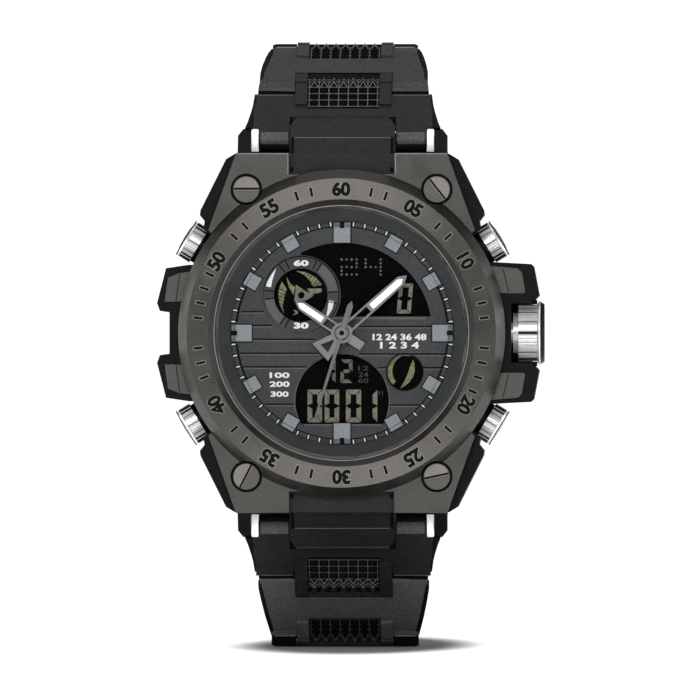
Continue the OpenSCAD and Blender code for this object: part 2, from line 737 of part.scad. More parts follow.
module lower_window_outline() {
    difference() {
        translate([0, -lower_window_y]) circle(lower_window_r);
        translate([-lower_window_r, -lower_window_cut - lower_window_r])
            square([2 * lower_window_r, lower_window_r]);
        circle(2 * hub_r);
    }
}

module dial() {
    color(dark) stand() slab(dial_z0, dial_z1) difference() {
        circle(cavity_r - 4 * run_gap);
        circle(pipe_hole_r);
        upper_window_outline();
        lower_window_outline();
        translate([subdial_x, subdial_y]) circle(subdial_r - subdial_w);
        translate([port_x, -port_y]) circle(port_r);
    }
}

module subdial_ring() {
    color(steel) stand() translate([subdial_x, subdial_y, 0])
        ring(subdial_r, subdial_r - subdial_w, dial_z1, dial_z1 + marker_h / 2);
}

module display_panel() {
    color("black") stand() ring(frame_r, pipe_hole_r, panel_z0, panel_z1);
}

module movement_frame() {
    floor_z = frame_z0 + frame_floor;
    room = 2 * third_c - third_c * seconds_teeth / (seconds_teeth + third_teeth) - third_c + 0.6;
    color("ivory") stand() {
        difference() {
            post(frame_r, frame_z0, frame_z1);
            for (c = [[0, 0], [0, third_c], [0, -motion_c]]) translate([c[0], c[1], 0])
                post(room, floor_z, frame_z1 + 1);
            post(arbor_r + run_gap, frame_z0 - 1, floor_z + 1);
            rod(coil_r + run_gap, -coil_l / 2 - run_gap, coil_l / 2 + run_gap,
                [coil_inset - frame_r, frame_z1 - coil_r - 0.3]);
            translate([-coil_l / 2 - run_gap, coil_inset - frame_r - coil_r - run_gap,
                frame_z1 - coil_r - 0.3]) cube([coil_l + 2 * run_gap, 2 * coil_r + 2 * run_gap, frame_h]);
        }
        translate([0, third_c, 0]) post(post_r, floor_z - 0.2, layer_z[1] + wheel_t);
        translate([0, -motion_c, 0]) post(post_r, floor_z - 0.2, layer_z[3] + wheel_t);
    }
}

module circuit_board() {
    color("darkgreen") stand() ring(frame_r - 0.5, arbor_r + 4 * run_gap, board_z0, board_z1);
}

module coin_cell() {
    color(steel) stand() translate([0, cell_y, 0])
        post(cell_r, board_z0 - seat_gap - cell_t, board_z0 - seat_gap);
}

module alarm_disc() {
    color(brass) stand() post(buzzer_r, case_z0, case_z0 + buzzer_t);
}

module motor_coil() {
    color("sienna") stand()
        rod(coil_r, -coil_l / 2, coil_l / 2, [coil_inset - frame_r, frame_z1 - coil_r - 0.3]);
}

module crown_tube() {
    color(steel) stand() radial(0) ring(crown_tube_r, crown_stem_r + crown_sleeve_w + 2 * run_gap,
        cavity_r + 1.1, crown_collar_x - link_gap);
}

module pusher_tubes() {
    color(steel) stand() for (turn = pusher_places) radial(turn)
        ring(pusher_tube_r, pusher_stem_r + run_gap, pusher_tube_r0, pusher_seat_r);
}

module pusher_springs() {
    z0 = pusher_seat_r + run_gap;
    color(chrome) stand() for (turn = pusher_places) radial(turn)
        ring(pusher_r - pusher_wall - 2 * run_gap, pusher_stem_r + 2 * run_gap, z0,
            pusher_face_r - pusher_wall - pusher_travel - 4 * run_gap);
}

module lug_pins() {
    color(steel) stand() two_ways() rod(lug_pin_r, -horn_half, horn_half, [lug_pin_y, lug_pin_z]);
}

module lug_sleeves() {
    color(chrome) stand() four_ways() translate([0, lug_pin_y, lug_pin_z]) rotate([0, 90, 0])
        ring(knuckle_r, lug_pin_r + seat_gap, lug_knuckle_half + run_gap, horn_half - horn_w - run_gap);
}

// Skeleton hand that points to 12, with a filled blade towards its tip
module hand_outline(l, w, slot0, slot1) {
    difference() {
        polygon([[-w / 2, 0], [-w / 2, l * 0.5], [-w / 2 + 0.1, l - 1.1], [0, l],
            [w / 2 - 0.1, l - 1.1], [w / 2, l * 0.5], [w / 2, 0]]);
        translate([-w / 2 + hand_rail_w, slot0]) square([w - 2 * hand_rail_w, slot1 - slot0]);
    }
}

module hour_hand() {
    color(lume) stand() {
        difference() {
            union() {
                rotate(-hour_turn) slab(hour_z, hour_z + hand_t) {
                    hand_outline(hour_l, hand_w, hub_r - 0.1, 3);
                    translate([-0.7, -hour_tail_l]) square([1.4, hour_tail_l]);
                    circle(hub_r);
                }
                post(hour_pipe_r, layer_z[3] - wheel_t / 2, hour_z + hand_t);
                translate([0, 0, layer_z[3]]) gear(hour_teeth, motion_c,
                    hour_teeth / (hour_teeth + motion_pinion_teeth), wheel_t, -90 + 180 / hour_teeth);
            }
            post(hour_pipe_in, 0, hour_z + 1);
        }
    }
}

module minute_hand() {
    tail_in = minute_tail_l - 0.8;
    color(lume) stand() {
        difference() {
            union() {
                rotate(-minute_turn) slab(minute_z, minute_z + hand_t) {
                    hand_outline(minute_l, hand_w, hub_r - 0.1, 5.2);
                    difference() {
                        polygon([[-0.5, 0], [-minute_tail_half, -minute_tail_l],
                            [minute_tail_half, -minute_tail_l], [0.5, 0]]);
                        polygon([[-0.1, -1.6], [0.9 - minute_tail_half, -tail_in],
                            [minute_tail_half - 0.9, -tail_in], [0.1, -1.6]]);
                    }
                    circle(hub_r - 0.1);
                }
                post(minute_pipe_r, layer_z[1] - wheel_t / 2, minute_z + hand_t);
                translate([0, 0, layer_z[2]]) gear(cannon_teeth, motion_c,
                    cannon_teeth / (cannon_teeth + motion_teeth), wheel_t, -90);
                translate([0, 0, layer_z[1]]) gear(centre_teeth, third_c,
                    centre_teeth / (centre_teeth + third_pinion_teeth), wheel_t, 90 + 180 / centre_teeth);
            }
            post(minute_pipe_in, 0, minute_z + 1);
        }
    }
}

module second_hand() {
    color(chrome) stand() {
        rotate(-second_turn) slab(second_z, second_z + hand_t) {
            polygon([[0, -second_tail_l], [-0.42, 0.8 - second_tail_l], [-0.42, -0.3], [-0.28, 0.3],
                [-0.13, second_l], [0.13, second_l], [0.28, 0.3], [0.42, -0.3],
                [0.42, 0.8 - second_tail_l]]);
            circle(second_hub_r);
        }
        post(arbor_r, frame_z0 + seat_gap, second_z + hand_t);
        translate([0, 0, layer_z[0]]) gear(seconds_teeth, third_c,
            seconds_teeth / (seconds_teeth + third_teeth), wheel_t, 90);
    }
}

module motion_wheel() {
    color(brass) stand() translate([0, -motion_c, 0]) difference() {
        union() {
            translate([0, 0, layer_z[2]]) gear(motion_teeth, motion_c,
                motion_teeth / (cannon_teeth + motion_teeth), wheel_t, 90 + 180 / motion_teeth);
            translate([0, 0, layer_z[3] - layer_step / 4]) gear(motion_pinion_teeth, motion_c,
                motion_pinion_teeth / (hour_teeth + motion_pinion_teeth), wheel_t + layer_step / 2, 90);
        }
        post(post_r + run_gap, 0, frame_z1);
    }
}

module third_wheel() {
    color(brass) stand() translate([0, third_c, 0]) difference() {
        union() {
            translate([0, 0, layer_z[0]]) gear(third_teeth, third_c,
                third_teeth / (seconds_teeth + third_teeth), wheel_t, -90 + 180 / third_teeth);
            translate([0, 0, layer_z[1] - layer_step / 4]) gear(third_pinion_teeth, third_c,
                third_pinion_teeth / (centre_teeth + third_pinion_teeth), wheel_t + layer_step / 2, -90);
        }
        post(post_r + run_gap, 0, frame_z1);
    }
}

module crown_sleeve() {
    bore = crown_stem_r + run_gap;
    color(chrome) stand() radial(0) {
        ring(crown_collar_r, bore, crown_collar_x, crown_collar_x + crown_collar_w);
        ring(crown_stem_r + crown_sleeve_w + run_gap, bore, cavity_r + 1.6, crown_collar_x + run_gap);
    }
}

module crown() {
    x0 = crown_collar_x + crown_collar_w + run_gap;
    x1 = x0 + crown_w;
    x2 = x1 + crown_cap_w;
    color(chrome) stand() radial(0) {
        post(crown_stem_r, cavity_r + 1, x1);
        fluted(crown_r, crown_flutes, x0, x1);
        rotate_extrude() polygon([[0, x1], [crown_cap_r - crown_bevel, x1],
            [crown_cap_r, x1 + crown_bevel / 2], [crown_cap_r, x2 - 1.5 * crown_bevel],
            [crown_cap_r - crown_bevel, x2], [0, x2]]);
    }
}

// One pusher: a grooved cup on a stem, with a flange that keeps it in its tube
module pusher(turn) {
    flange_r0 = pusher_tube_r0 - run_gap - pusher_clip_t;
    color(chrome) stand() radial(turn) {
        difference() {
            union() {
                fluted(pusher_r, pusher_flutes, pusher_head_r0, pusher_face_r - pusher_bevel);
                rotate_extrude() polygon([[0, pusher_face_r - pusher_wall],
                    [pusher_r - 0.1, pusher_face_r - pusher_wall], [pusher_r, pusher_face_r - pusher_bevel],
                    [pusher_r - pusher_bevel, pusher_face_r],
                    [pusher_r / 2, pusher_face_r + 0.75 * pusher_dome], [0, pusher_face_r + pusher_dome]]);
                post(pusher_skirt_r, pusher_seat_r + pusher_travel + 2 * run_gap,
                    pusher_face_r - pusher_wall);
            }
            post(pusher_r - pusher_wall, pusher_seat_r, pusher_face_r - pusher_wall);
        }
        post(pusher_stem_r, flange_r0, pusher_face_r - pusher_wall / 2);
        post(pusher_flange_r, flange_r0, flange_r0 + pusher_clip_t);
    }
}

module pusher_upper_right() {
    pusher(pusher_places[0]);
}

module pusher_upper_left() {
    pusher(pusher_places[1]);
}

module pusher_lower_left() {
    pusher(pusher_places[2]);
}

module pusher_lower_right() {
    pusher(pusher_places[3]);
}

// Puts a shape at pin n of a strap half, with y along the slope and z out of the wrist
module at_pin(half, n, slope) {
    pin = pin_at(half == 1 ? upper_slope : lower_slope, n);
    stand() mirror([0, half == 1 ? 0 : 1, 0]) translate([0, pin[0], pin[1]]) rotate([-slope, 0, 0])
        children();
}

// Knuckled end of a link or a clasp plate: body, notch and running bore round its first pin
module link_start(len, half0, half1, notch, notch_half, pin_r, pin_half, body_z0, body_z1) {
    difference() {
        intersection() {
            across(-half0 - 1, half0 + 1) {
                circle(knuckle_r);
                translate([0, body_z0]) square([len, body_z1 - body_z0]);
            }
            slab(-strap_t, strap_t)
                polygon([[-half0, -strap_t], [half0, -strap_t], [half1, len], [-half1, len]]);
        }
        rod(notch, -notch_half - link_gap / 3, notch_half + link_gap / 3);
        rod(pin_r + run_gap, -pin_half, pin_half);
    }
}

// Finger of a link that carries its pad and holds the next pin, with its tip leant to the wrist
module link_finger(pitch, prev_half, notch, lean) {
    difference() {
        across(-pad_half, pad_half) difference() {
            union() {
                translate([notch, -knuckle_r]) square([pitch - notch, strap_t]);
                translate([notch - pad_ledge_w, -knuckle_r])
                    square([2 * pad_ledge_w, knuckle_r + pad_ledge_z]);
                translate([pitch, 0]) circle(knuckle_r + pad_rise / 2);
                translate([pitch, 0]) rotate(-lean) translate([0, -knuckle_r / 4])
                    square([pad_reach, 1.25 * knuckle_r + pad_rise]);
                translate([pitch - pad_back, 0]) square([pad_back, knuckle_r + pad_rise]);
            }
            translate([pitch, 0]) circle(strap_pin_r + seat_gap);
        }
        rod(prev_half == block_half ? block_notch_r : tip_notch_r, -prev_half - link_gap / 3,
            prev_half + link_gap / 3);
    }
}

// Link k of a strap half, counted from the lugs
module strap_link(half, k) {
    slope = half == 1 ? upper_slope : lower_slope;
    pitch = link_pitch[k - 1];
    first = k == 1;
    prev_half = first ? block_half : pad_half;
    notch = first ? block_notch_r : notch_r;
    pin_r = first ? lug_pin_r : strap_pin_r;
    pin_half = first ? horn_half : link_half[k - 1] - strap_pin_cover + run_gap;
    next_slope = k < links ? slope[k] : half == 1 ? upper_clasp_slope : lower_clasp_slope;
    color(resin) at_pin(half, k - 1, slope[k - 1]) {
        difference() {
            link_start(pitch, link_half[k - 1], link_half[k], notch, prev_half, pin_r, pin_half,
                -knuckle_r, knuckle_r);
            rod(knuckle_r + link_end_gap, -strap_half - 2, strap_half + 2, [pitch, 0]);
            if (first) for (side = [0, 1]) mirror([side, 0, 0])
                rod(knuckle_r + link_gap, lug_knuckle_half, strap_half + 2);
        }
        link_finger(pitch, prev_half, notch, (next_slope - slope[k - 1]) / 2);
    }
}

// Pin at the far end of link k, held in that link's finger
module strap_pin(half, k) {
    reach = link_half[k] - strap_pin_cover;
    color(steel) at_pin(half, k, 0) rod(strap_pin_r, -reach, reach);
}

// Clasp plate hinged on the last link of a strap half
module clasp_plate(half, slope) {
    inner = -knuckle_r;
    color(steel) at_pin(half, links, slope) link_start(plate_len, link_half[links], link_half[links],
        tip_notch_r, pad_half, strap_pin_r, link_half[links] - strap_pin_cover + run_gap, inner,
        inner + clasp_plate_t);
}

// Upper clasp plate, with the two ears that hold the cover's pin
module clasp_blade() {
    ear_x = cover_half - cover_ear_w - run_gap;
    clasp_plate(1, upper_clasp_slope);
    color(steel) at_pin(1, links, upper_clasp_slope) for (side = [0, 1]) mirror([side, 0, 0])
        across(ear_x - cover_ear_w, ear_x) difference() {
            union() {
                translate(cover_axis) circle(cover_barrel_r);
                translate([cover_hinge_u - cover_barrel_r, -knuckle_r + clasp_plate_t / 2])
                    square([2 * cover_barrel_r, cover_axis[1] + knuckle_r - clasp_plate_t / 2]);
            }
            translate(cover_axis) circle(cover_pin_r + run_gap);
        }
}

module clasp_tongue() {
    clasp_plate(-1, lower_clasp_slope);
}

// Cover that folds down over both plates, with its barrel between the blade's ears
module clasp_cover() {
    barrel_half = cover_half - 2 * cover_ear_w - 2 * run_gap;
    edge_u = cover_hinge_u + cover_barrel_r + link_gap;
    color(steel) at_pin(1, links, upper_clasp_slope) difference() {
        union() {
            translate([-cover_half, edge_u, knuckle_r + cover_rise - cover_t])
                cube([2 * cover_half, clasp_len - cover_end_u - edge_u, cover_t]);
            rod(cover_barrel_r, -barrel_half, barrel_half, cover_axis);
            translate([-barrel_half, cover_hinge_u, cover_axis[1]])
                cube([2 * barrel_half, cover_barrel_r + 2 * link_gap, cover_barrel_r]);
        }
        rod(cover_pin_r + seat_gap, -cover_half, cover_half, cover_axis);
    }
}

module clasp_pin() {
    reach = cover_half - cover_ear_w - 2 * run_gap;
    color(chrome) at_pin(1, links, upper_clasp_slope) rod(cover_pin_r, -reach, reach, cover_axis);
}

case_body();
guard_plates();
case_back();
case_back_seal();
case_back_screws();
bezel_base();
bezel_ring();
bezel_screws();
crystal();
crystal_seal();
chapter_ring();
hour_markers();
dial();
subdial_ring();
display_panel();
movement_frame();
circuit_board();
coin_cell();
alarm_disc();
motor_coil();
crown_tube();
pusher_tubes();
pusher_springs();
lug_pins();
lug_sleeves();
hour_hand();
minute_hand();
second_hand();
motion_wheel();
third_wheel();
crown_sleeve();
crown();
pusher_upper_right();
pusher_upper_left();
pusher_lower_left();
pusher_lower_right();
strap_link(1, 1);  // upper_link_1
strap_link(1, 2);  // upper_link_2
strap_link(1, 3);  // upper_link_3
strap_link(1, 4);  // upper_link_4
strap_link(1, 5);  // upper_link_5
strap_link(-1, 1);  // lower_link_1
strap_link(-1, 2);  // lower_link_2
strap_link(-1, 3);  // lower_link_3
strap_link(-1, 4);  // lower_link_4
strap_link(-1, 5);  // lower_link_5
strap_pin(1, 1);  // upper_pin_1
strap_pin(1, 2);  // upper_pin_2
strap_pin(1, 3);  // upper_pin_3
strap_pin(1, 4);  // upper_pin_4
strap_pin(1, 5);  // upper_pin_5
strap_pin(-1, 1);  // lower_pin_1
strap_pin(-1, 2);  // lower_pin_2
strap_pin(-1, 3);  // lower_pin_3
strap_pin(-1, 4);  // lower_pin_4
strap_pin(-1, 5);  // lower_pin_5
clasp_blade();
clasp_tongue();
clasp_cover();
clasp_pin();
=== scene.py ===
"""Looks of the sports watch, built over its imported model."""
import json
import math
from collections import namedtuple

import bmesh
import bpy
from mathutils import Matrix, Vector

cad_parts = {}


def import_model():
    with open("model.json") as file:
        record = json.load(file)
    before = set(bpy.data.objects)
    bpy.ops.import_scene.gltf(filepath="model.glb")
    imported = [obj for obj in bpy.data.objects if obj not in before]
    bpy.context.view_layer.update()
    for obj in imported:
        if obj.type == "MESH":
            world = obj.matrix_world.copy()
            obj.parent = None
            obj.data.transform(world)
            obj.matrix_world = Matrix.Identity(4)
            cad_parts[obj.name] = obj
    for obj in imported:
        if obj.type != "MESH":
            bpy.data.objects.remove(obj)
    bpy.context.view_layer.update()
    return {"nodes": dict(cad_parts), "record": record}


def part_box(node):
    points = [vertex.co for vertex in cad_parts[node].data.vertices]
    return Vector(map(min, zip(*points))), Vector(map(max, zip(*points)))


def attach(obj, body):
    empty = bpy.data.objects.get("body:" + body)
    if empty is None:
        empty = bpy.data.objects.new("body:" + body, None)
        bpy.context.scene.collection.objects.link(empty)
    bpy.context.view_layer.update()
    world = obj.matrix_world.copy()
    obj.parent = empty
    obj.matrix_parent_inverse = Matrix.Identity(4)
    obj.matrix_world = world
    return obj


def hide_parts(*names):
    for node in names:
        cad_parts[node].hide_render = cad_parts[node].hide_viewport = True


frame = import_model()
nodes = frame["nodes"]
behaviour = frame["record"]["behaviour"]
body_of = {node: body for body, members in behaviour["bodies"].items() for node in members}

# Pieces are drawn in the watch's own frame, in mm: x to 3 o'clock, y to 12, z out of the dial
MM = 0.001
TO_ROW = Matrix.Rotation(math.radians(90), 4, "X") @ Matrix.Scale(MM, 4)
PX = 0.145
DIAL_PX = (342.0, 333.0)


def at(px, py):
    """Point of the watch's face, in mm, that the photograph shows at a pixel."""
    return ((px - DIAL_PX[0]) * PX, (DIAL_PX[1] - py) * PX)


def top_of(node):
    """Level of a node's front face, in mm."""
    return -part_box(node)[0].y / MM


def polar(r, clock):
    """Point at radius r and at an angle clockwise from 12 o'clock."""
    return (r * math.sin(math.radians(clock)), r * math.cos(math.radians(clock)))


def turned(clock):
    """Matrix that turns a shape drawn upright to an angle clockwise from 12 o'clock."""
    return Matrix.Rotation(-math.radians(clock), 4, "Z")


BEZEL_TOP = top_of("bezel_ring")
DIAL_TOP = top_of("dial")
PANEL_TOP = top_of("display_panel")
MARKER_TOP = top_of("hour_markers")
SUBDIAL_TOP = top_of("subdial_ring")
PRINT = 0.02


# Materials

def set_values(node, **values):
    """Sets a node's inputs, each named with _ for a space."""
    for name, value in values.items():
        node.inputs[name.replace("_", " ")].default_value = value
    return node


def add_node(tree, kind, **values):
    return set_values(tree.nodes.new("ShaderNode" + kind), **values)


def wire(tree, source, output, target, socket):
    tree.links.new(source.outputs[output], target.inputs[socket])


def shader_of(name, color, rough, metallic=0.0):
    """New material, with its tree and shader."""
    mat = bpy.data.materials.new(name)
    mat.use_nodes = True
    shader = mat.node_tree.nodes["Principled BSDF"]
    set_values(shader, Base_Color=(*color, 1), Roughness=rough, Metallic=metallic)
    return mat, mat.node_tree, shader


def noise_of(tree, scale, stretch=(1, 1, 1)):
    """Noise laid over the object's own coordinates, in metres."""
    coords = add_node(tree, "TexCoord")
    mapping = add_node(tree, "Mapping", Scale=stretch)
    noise = add_node(tree, "TexNoise", Scale=scale, Detail=4.0)
    wire(tree, coords, "Object", mapping, "Vector")
    wire(tree, mapping, "Vector", noise, "Vector")
    return noise


def ramp_of(tree, source, low, high):
    """Colour ramp between two stops, each a place and a colour."""
    ramp = add_node(tree, "ValToRGB")
    for stop, (place, color) in zip(ramp.color_ramp.elements, (low, high)):
        stop.position = place
        stop.color = (*color, 1)
    wire(tree, source, "Fac", ramp, "Fac")
    return ramp


def vary_color(tree, shader, noise, dark, light):
    ramp = ramp_of(tree, noise, (0.35, dark), (0.65, light))
    wire(tree, ramp, "Color", shader, "Base Color")


def vary_rough(tree, shader, noise, low, high):
    span = add_node(tree, "MapRange", From_Min=0.3, From_Max=0.7, To_Min=low, To_Max=high)
    wire(tree, noise, "Fac", span, "Value")
    wire(tree, span, "Result", shader, "Roughness")


def add_bump(tree, shader, noise, depth):
    bump = add_node(tree, "Bump", Strength=0.6, Distance=depth)
    wire(tree, noise, "Fac", bump, "Height")
    wire(tree, bump, "Normal", shader, "Normal")


def tone(color, factor):
    return tuple(min(1.0, c * factor) for c in color)


MICRON = 0.000001
GLOSS_SPREAD = 0.07


def finish_of(name, color, rough, metallic, grain, contrast, depth, spec=0.5, stretch=(1, 1, 1)):
    """A surface with a fine grain, its depth in micrometres, slightly uneven in colour and gloss."""
    mat, tree, shader = shader_of(name, color, rough, metallic)
    fine = noise_of(tree, grain, stretch)
    broad = noise_of(tree, grain / 12)
    vary_color(tree, shader, fine, tone(color, 1 - contrast), tone(color, 1 + contrast))
    vary_rough(tree, shader, broad, rough - GLOSS_SPREAD, rough + GLOSS_SPREAD)
    add_bump(tree, shader, fine, depth * MICRON)
    set_values(shader, Specular_IOR_Level=spec)
    return mat


def glass_finish():
    """Clear crystal: what it reflects follows Fresnel, and the rest passes straight through."""
    mat, tree, shader = shader_of("crystal_glass", (0.95, 0.97, 1.0), 0.02, 1.0)
    fresnel = add_node(tree, "Fresnel", IOR=1.08)
    wire(tree, fresnel, "Fac", shader, "Alpha")
    vary_rough(tree, shader, noise_of(tree, 60), 0.01, 0.04)
    return mat


def ring_brushed(name, color, rough, strength):
    """Metal brushed round the dial's axis, so that its shine lies in wedges."""
    mat = finish_of(name, color, rough, 0.95, 4600, 0.12, 5)
    shader = mat.node_tree.nodes["Principled BSDF"]
    set_values(shader, Anisotropic=strength, Anisotropic_Rotation=0.25)
    tangent = add_node(mat.node_tree, "Tangent")
    tangent.direction_type = "RADIAL"
    tangent.axis = "Y"
    wire(mat.node_tree, tangent, "Tangent", shader, "Tangent")
    return mat


RESIN = (0.0100, 0.0102, 0.0107)
GUN = (0.068, 0.0645, 0.0590)
# Slot of the record, then what finish_of takes after the name
FINISHES = {
    "resin": ("black_resin", RESIN, 0.5, 0, 4200, 0.45, 35, 0.2),
    # Darker copies of the resin: painted shade in gaps and recesses and on faces turned from the light
    "resin_shade": ("black_resin", tone(RESIN, 0.2), 0.6, 0, 4200, 0.4, 20, 0.04),
    "resin_side_shade": ("black_resin", tone(RESIN, 0.28), 0.5, 0, 4200, 0.45, 30, 0.09),
    # Lighter copies of the resin: painted light on lit faces, and a painted highlight on the barrels
    "resin_lit": ("black_resin", tone(RESIN, 3.6), 0.5, 0, 3600, 0.45, 35, 0.22),
    "resin_lit_bright": ("black_resin", tone(RESIN, 7.2), 0.5, 0, 4200, 0.4, 30, 0.22),
    # Lighter copies of the resin for painted highlights along edges, creases and ridges
    "resin_edge_highlight": ("black_resin", tone(RESIN, 7), 0.5, 0, 4200, 0.35, 10),
    "resin_rim_highlight": ("black_resin", tone(RESIN, 26), 0.5, 0, 4200, 0.3, 10),
    "gun": ("gunmetal", GUN, 0.38, 0.92, 3600, 0.1, 6),
    # Lighter copy of the gunmetal for painted highlights on edges and rims
    "rim_highlight": ("gunmetal", tone(GUN, 3.4), 0.35, 0.9, 5200, 0.1, 4),
    "plate": ("gunmetal", GUN, 0.42, 0.85, 5200, 0.12, 8),
    # Lit and shaded copies of the gunmetal for the screws: painted highlight and painted shade
    "screw_lit": ("gunmetal", tone(GUN, 2.6), 0.36, 0.85, 2600, 0.08, 3),
    "screw_shaded": ("gunmetal", tone(GUN, 1.3), 0.4, 0.85, 2600, 0.08, 3),
    "brushed": ("brushed", (0.3, 0.3, 0.295), 0.34, 0.9, 2600, 0.1, 4, 0.5, (1, 1, 0.06)),
    "polished": ("polished", (0.42, 0.42, 0.41), 0.16, 1, 900, 0.03, 1),
    "chrome": ("polished", (0.72, 0.72, 0.71), 0.24, 0.35, 1200, 0.03, 2),
    # Near black steel: the lug pins, and painted shade and dark reflections on the crown and pushers
    "steel_dark_and_shade": ("polished", (0.006, 0.006, 0.006), 0.45, 0.2, 1200, 0.2, 2, 0.1),
    # Grey steel for lines of painted shade in the grooves of the crown and pushers
    "steel_groove_shade": ("polished", (0.2, 0.2, 0.2), 0.4, 0.5, 1200, 0.1, 2),
    "hand": ("polished", (0.175, 0.178, 0.18), 0.36, 0.7, 4200, 0.1, 2),
    "hand_tail": ("polished", (0.115, 0.12, 0.12), 0.4, 0.7, 4200, 0.1, 2),
    "rubber": ("seal_rubber", (0.012, 0.012, 0.013), 0.75, 0, 2500, 0.3, 10),
    # Near black for real print and fills, and for painted shade in recesses, grooves and gaps and painted
    # shadows round parts
    "ink": ("seal_rubber", (0.0025, 0.0025, 0.0025), 0.6, 0, 5200, 0.3, 2, 0.08),
    "dial": ("dial_dark", (0.034, 0.036, 0.038), 0.55, 0.2, 6000, 0.28, 4, 0.3),
    # Lighter copy of the dial: painted highlights on bevels and groove edges, and the raised chapter marks
    "dial_light": ("dial_dark", (0.085, 0.087, 0.088), 0.5, 0.2, 6000, 0.2, 3, 0.3),
    "chapter": ("dial_dark", (0.06, 0.063, 0.066), 0.42, 0.25, 5000, 0.14, 3),
    "marker": ("marker_grey", (0.185, 0.202, 0.209), 0.45, 0.2, 5200, 0.14, 6),
    # Darker copy of the marker grey: painted shade on the large markers' outer step, and a line across the
    # small ones
    "marker_rim": ("marker_grey", (0.07, 0.09, 0.095), 0.45, 0.2, 5200, 0.5, 4),
    "lcd": ("display", (0.0012, 0.0012, 0.0014), 0.5, 0, 900, 0.05, 0.2, 0.04),
    "screen": ("display", (0.001, 0.001, 0.0012), 0.6, 0, 300, 0.02, 0.01, 0.02),
    "segment": ("display", (0.145, 0.141, 0.106), 0.5, 0, 1900, 0.25, 1, 0.2),
    "segment_soft": ("display", (0.105, 0.107, 0.08), 0.5, 0, 1900, 0.3, 1, 0.1),
    "segment_dim": ("display", (0.055, 0.052, 0.046), 0.5, 0, 5000, 0.1, 1, 0.1),
    "olive": ("display", (0.17, 0.17, 0.09), 0.5, 0, 1500, 0.35, 1, 0.1),
    "frame": ("frame_plastic", (0.03, 0.03, 0.03), 0.6, 0, 2500, 0.2, 10),
    "board": ("board_green", (0.02, 0.1, 0.04), 0.5, 0, 2500, 0.2, 10),
    "brass": ("brass", (0.6, 0.45, 0.2), 0.3, 1, 2500, 0.06, 3),
    "lume": ("lume_white", (0.82, 0.83, 0.82), 0.55, 0, 5200, 0.04, 4),
    "sleeve": ("lume_white", (0.9, 0.9, 0.9), 0.35, 0, 1200, 0.03, 2),
    "print": ("lume_white", (0.66, 0.67, 0.67), 0.6, 0, 5200, 0.08, 2),
}
M = {name: finish_of(name, *values[1:]) for name, values in FINISHES.items()}
M["ring"] = ring_brushed("ring", tone(GUN, 1.4), 0.34, 0.85)
# The slopes take a darker copy of the ring's metal, less brushed: the finish differs and the darker tone is
# painted shade
M["slope"] = ring_brushed("slope", tone(GUN, 0.85), 0.40, 0.4)
M["glass"] = glass_finish()
SLOTS = {name: values[0] for name, values in FINISHES.items()}
SLOTS.update(ring="gunmetal", slope="gunmetal", glass="crystal_glass")
# Painted light: a glow keeps the white sleeves and lume bright on their shaded sides, and lifts the chrome
for name, strength in (("sleeve", 0.50), ("lume", 0.30), ("chrome", 0.05)):
    glow = M[name].node_tree.nodes["Principled BSDF"]
    set_values(glow, Emission_Color=(1, 1, 1, 1), Emission_Strength=strength)


# Making pieces

def shown(obj, body, finish):
    """Gives an object its body and finish."""
    obj.data.materials.clear()
    obj.data.materials.append(M[finish])
    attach(obj, body)
    return obj


def new_object(name, mesh):
    obj = bpy.data.objects.new(name, mesh)
    bpy.context.scene.collection.objects.link(obj)
    return obj


def applied(obj):
    """Replaces an object's mesh by what its modifiers make of it."""
    graph = bpy.context.evaluated_depsgraph_get()
    mesh = bpy.data.meshes.new_from_object(obj.evaluated_get(graph))
    obj.modifiers.clear()
    obj.data = mesh


def sketches(count):
    """Empty meshes to draw pieces in."""
    return [bmesh.new() for i in range(count)]


def piece(name, bm, finish, body="case", crease=35):
    """Object made from a bmesh drawn in the watch's frame."""
    bm.transform(TO_ROW)
    bmesh.ops.recalc_face_normals(bm, faces=bm.faces)
    mesh = bpy.data.meshes.new(name)
    bm.to_mesh(mesh)
    bm.free()
    mesh.shade_smooth()
    mesh.set_sharp_from_angle(angle=math.radians(crease))
    return shown(new_object(name, mesh), body, finish)


def curve_mesh(curve):
    """Mesh of a curve, which is then removed."""
    obj = new_object("sketch", curve)
    graph = bpy.context.evaluated_depsgraph_get()
    graph.update()
    mesh = bpy.data.meshes.new_from_object(obj.evaluated_get(graph))
    bpy.data.objects.remove(obj)
    bpy.data.curves.remove(curve)
    return mesh


def add_mesh(bm, mesh, matrix):
    mesh.transform(matrix)
    bm.from_mesh(mesh)
    bpy.data.meshes.remove(mesh)


def add_plate(bm, loops, z0, z1, bevel=0.0, matrix=Matrix.Identity(4)):
    """Flat plate with the outlines given, holes among them, from level z0 to z1."""
    curve = bpy.data.curves.new("outline", "CURVE")
    curve.dimensions = "2D"
    curve.fill_mode = "BOTH"
    curve.extrude = (z1 - z0) / 2 - bevel
    curve.bevel_depth = bevel
    curve.bevel_resolution = 1
    curve.offset = -bevel
    for loop in loops:
        spline = curve.splines.new("POLY")
        spline.points.add(len(loop) - 1)
        for point, (x, y) in zip(spline.points, loop):
            point.co = (x, y, 0, 1)
        spline.use_cyclic_u = True
    add_mesh(bm, curve_mesh(curve), matrix @ Matrix.Translation((0, 0, (z0 + z1) / 2)))


def add_print(bm, loops, level, matrix=Matrix.Identity(4), coats=1):
    """Thin print with the outlines given, on a level and a number of coats high."""
    add_plate(bm, loops, level, level + coats * PRINT, 0, matrix)


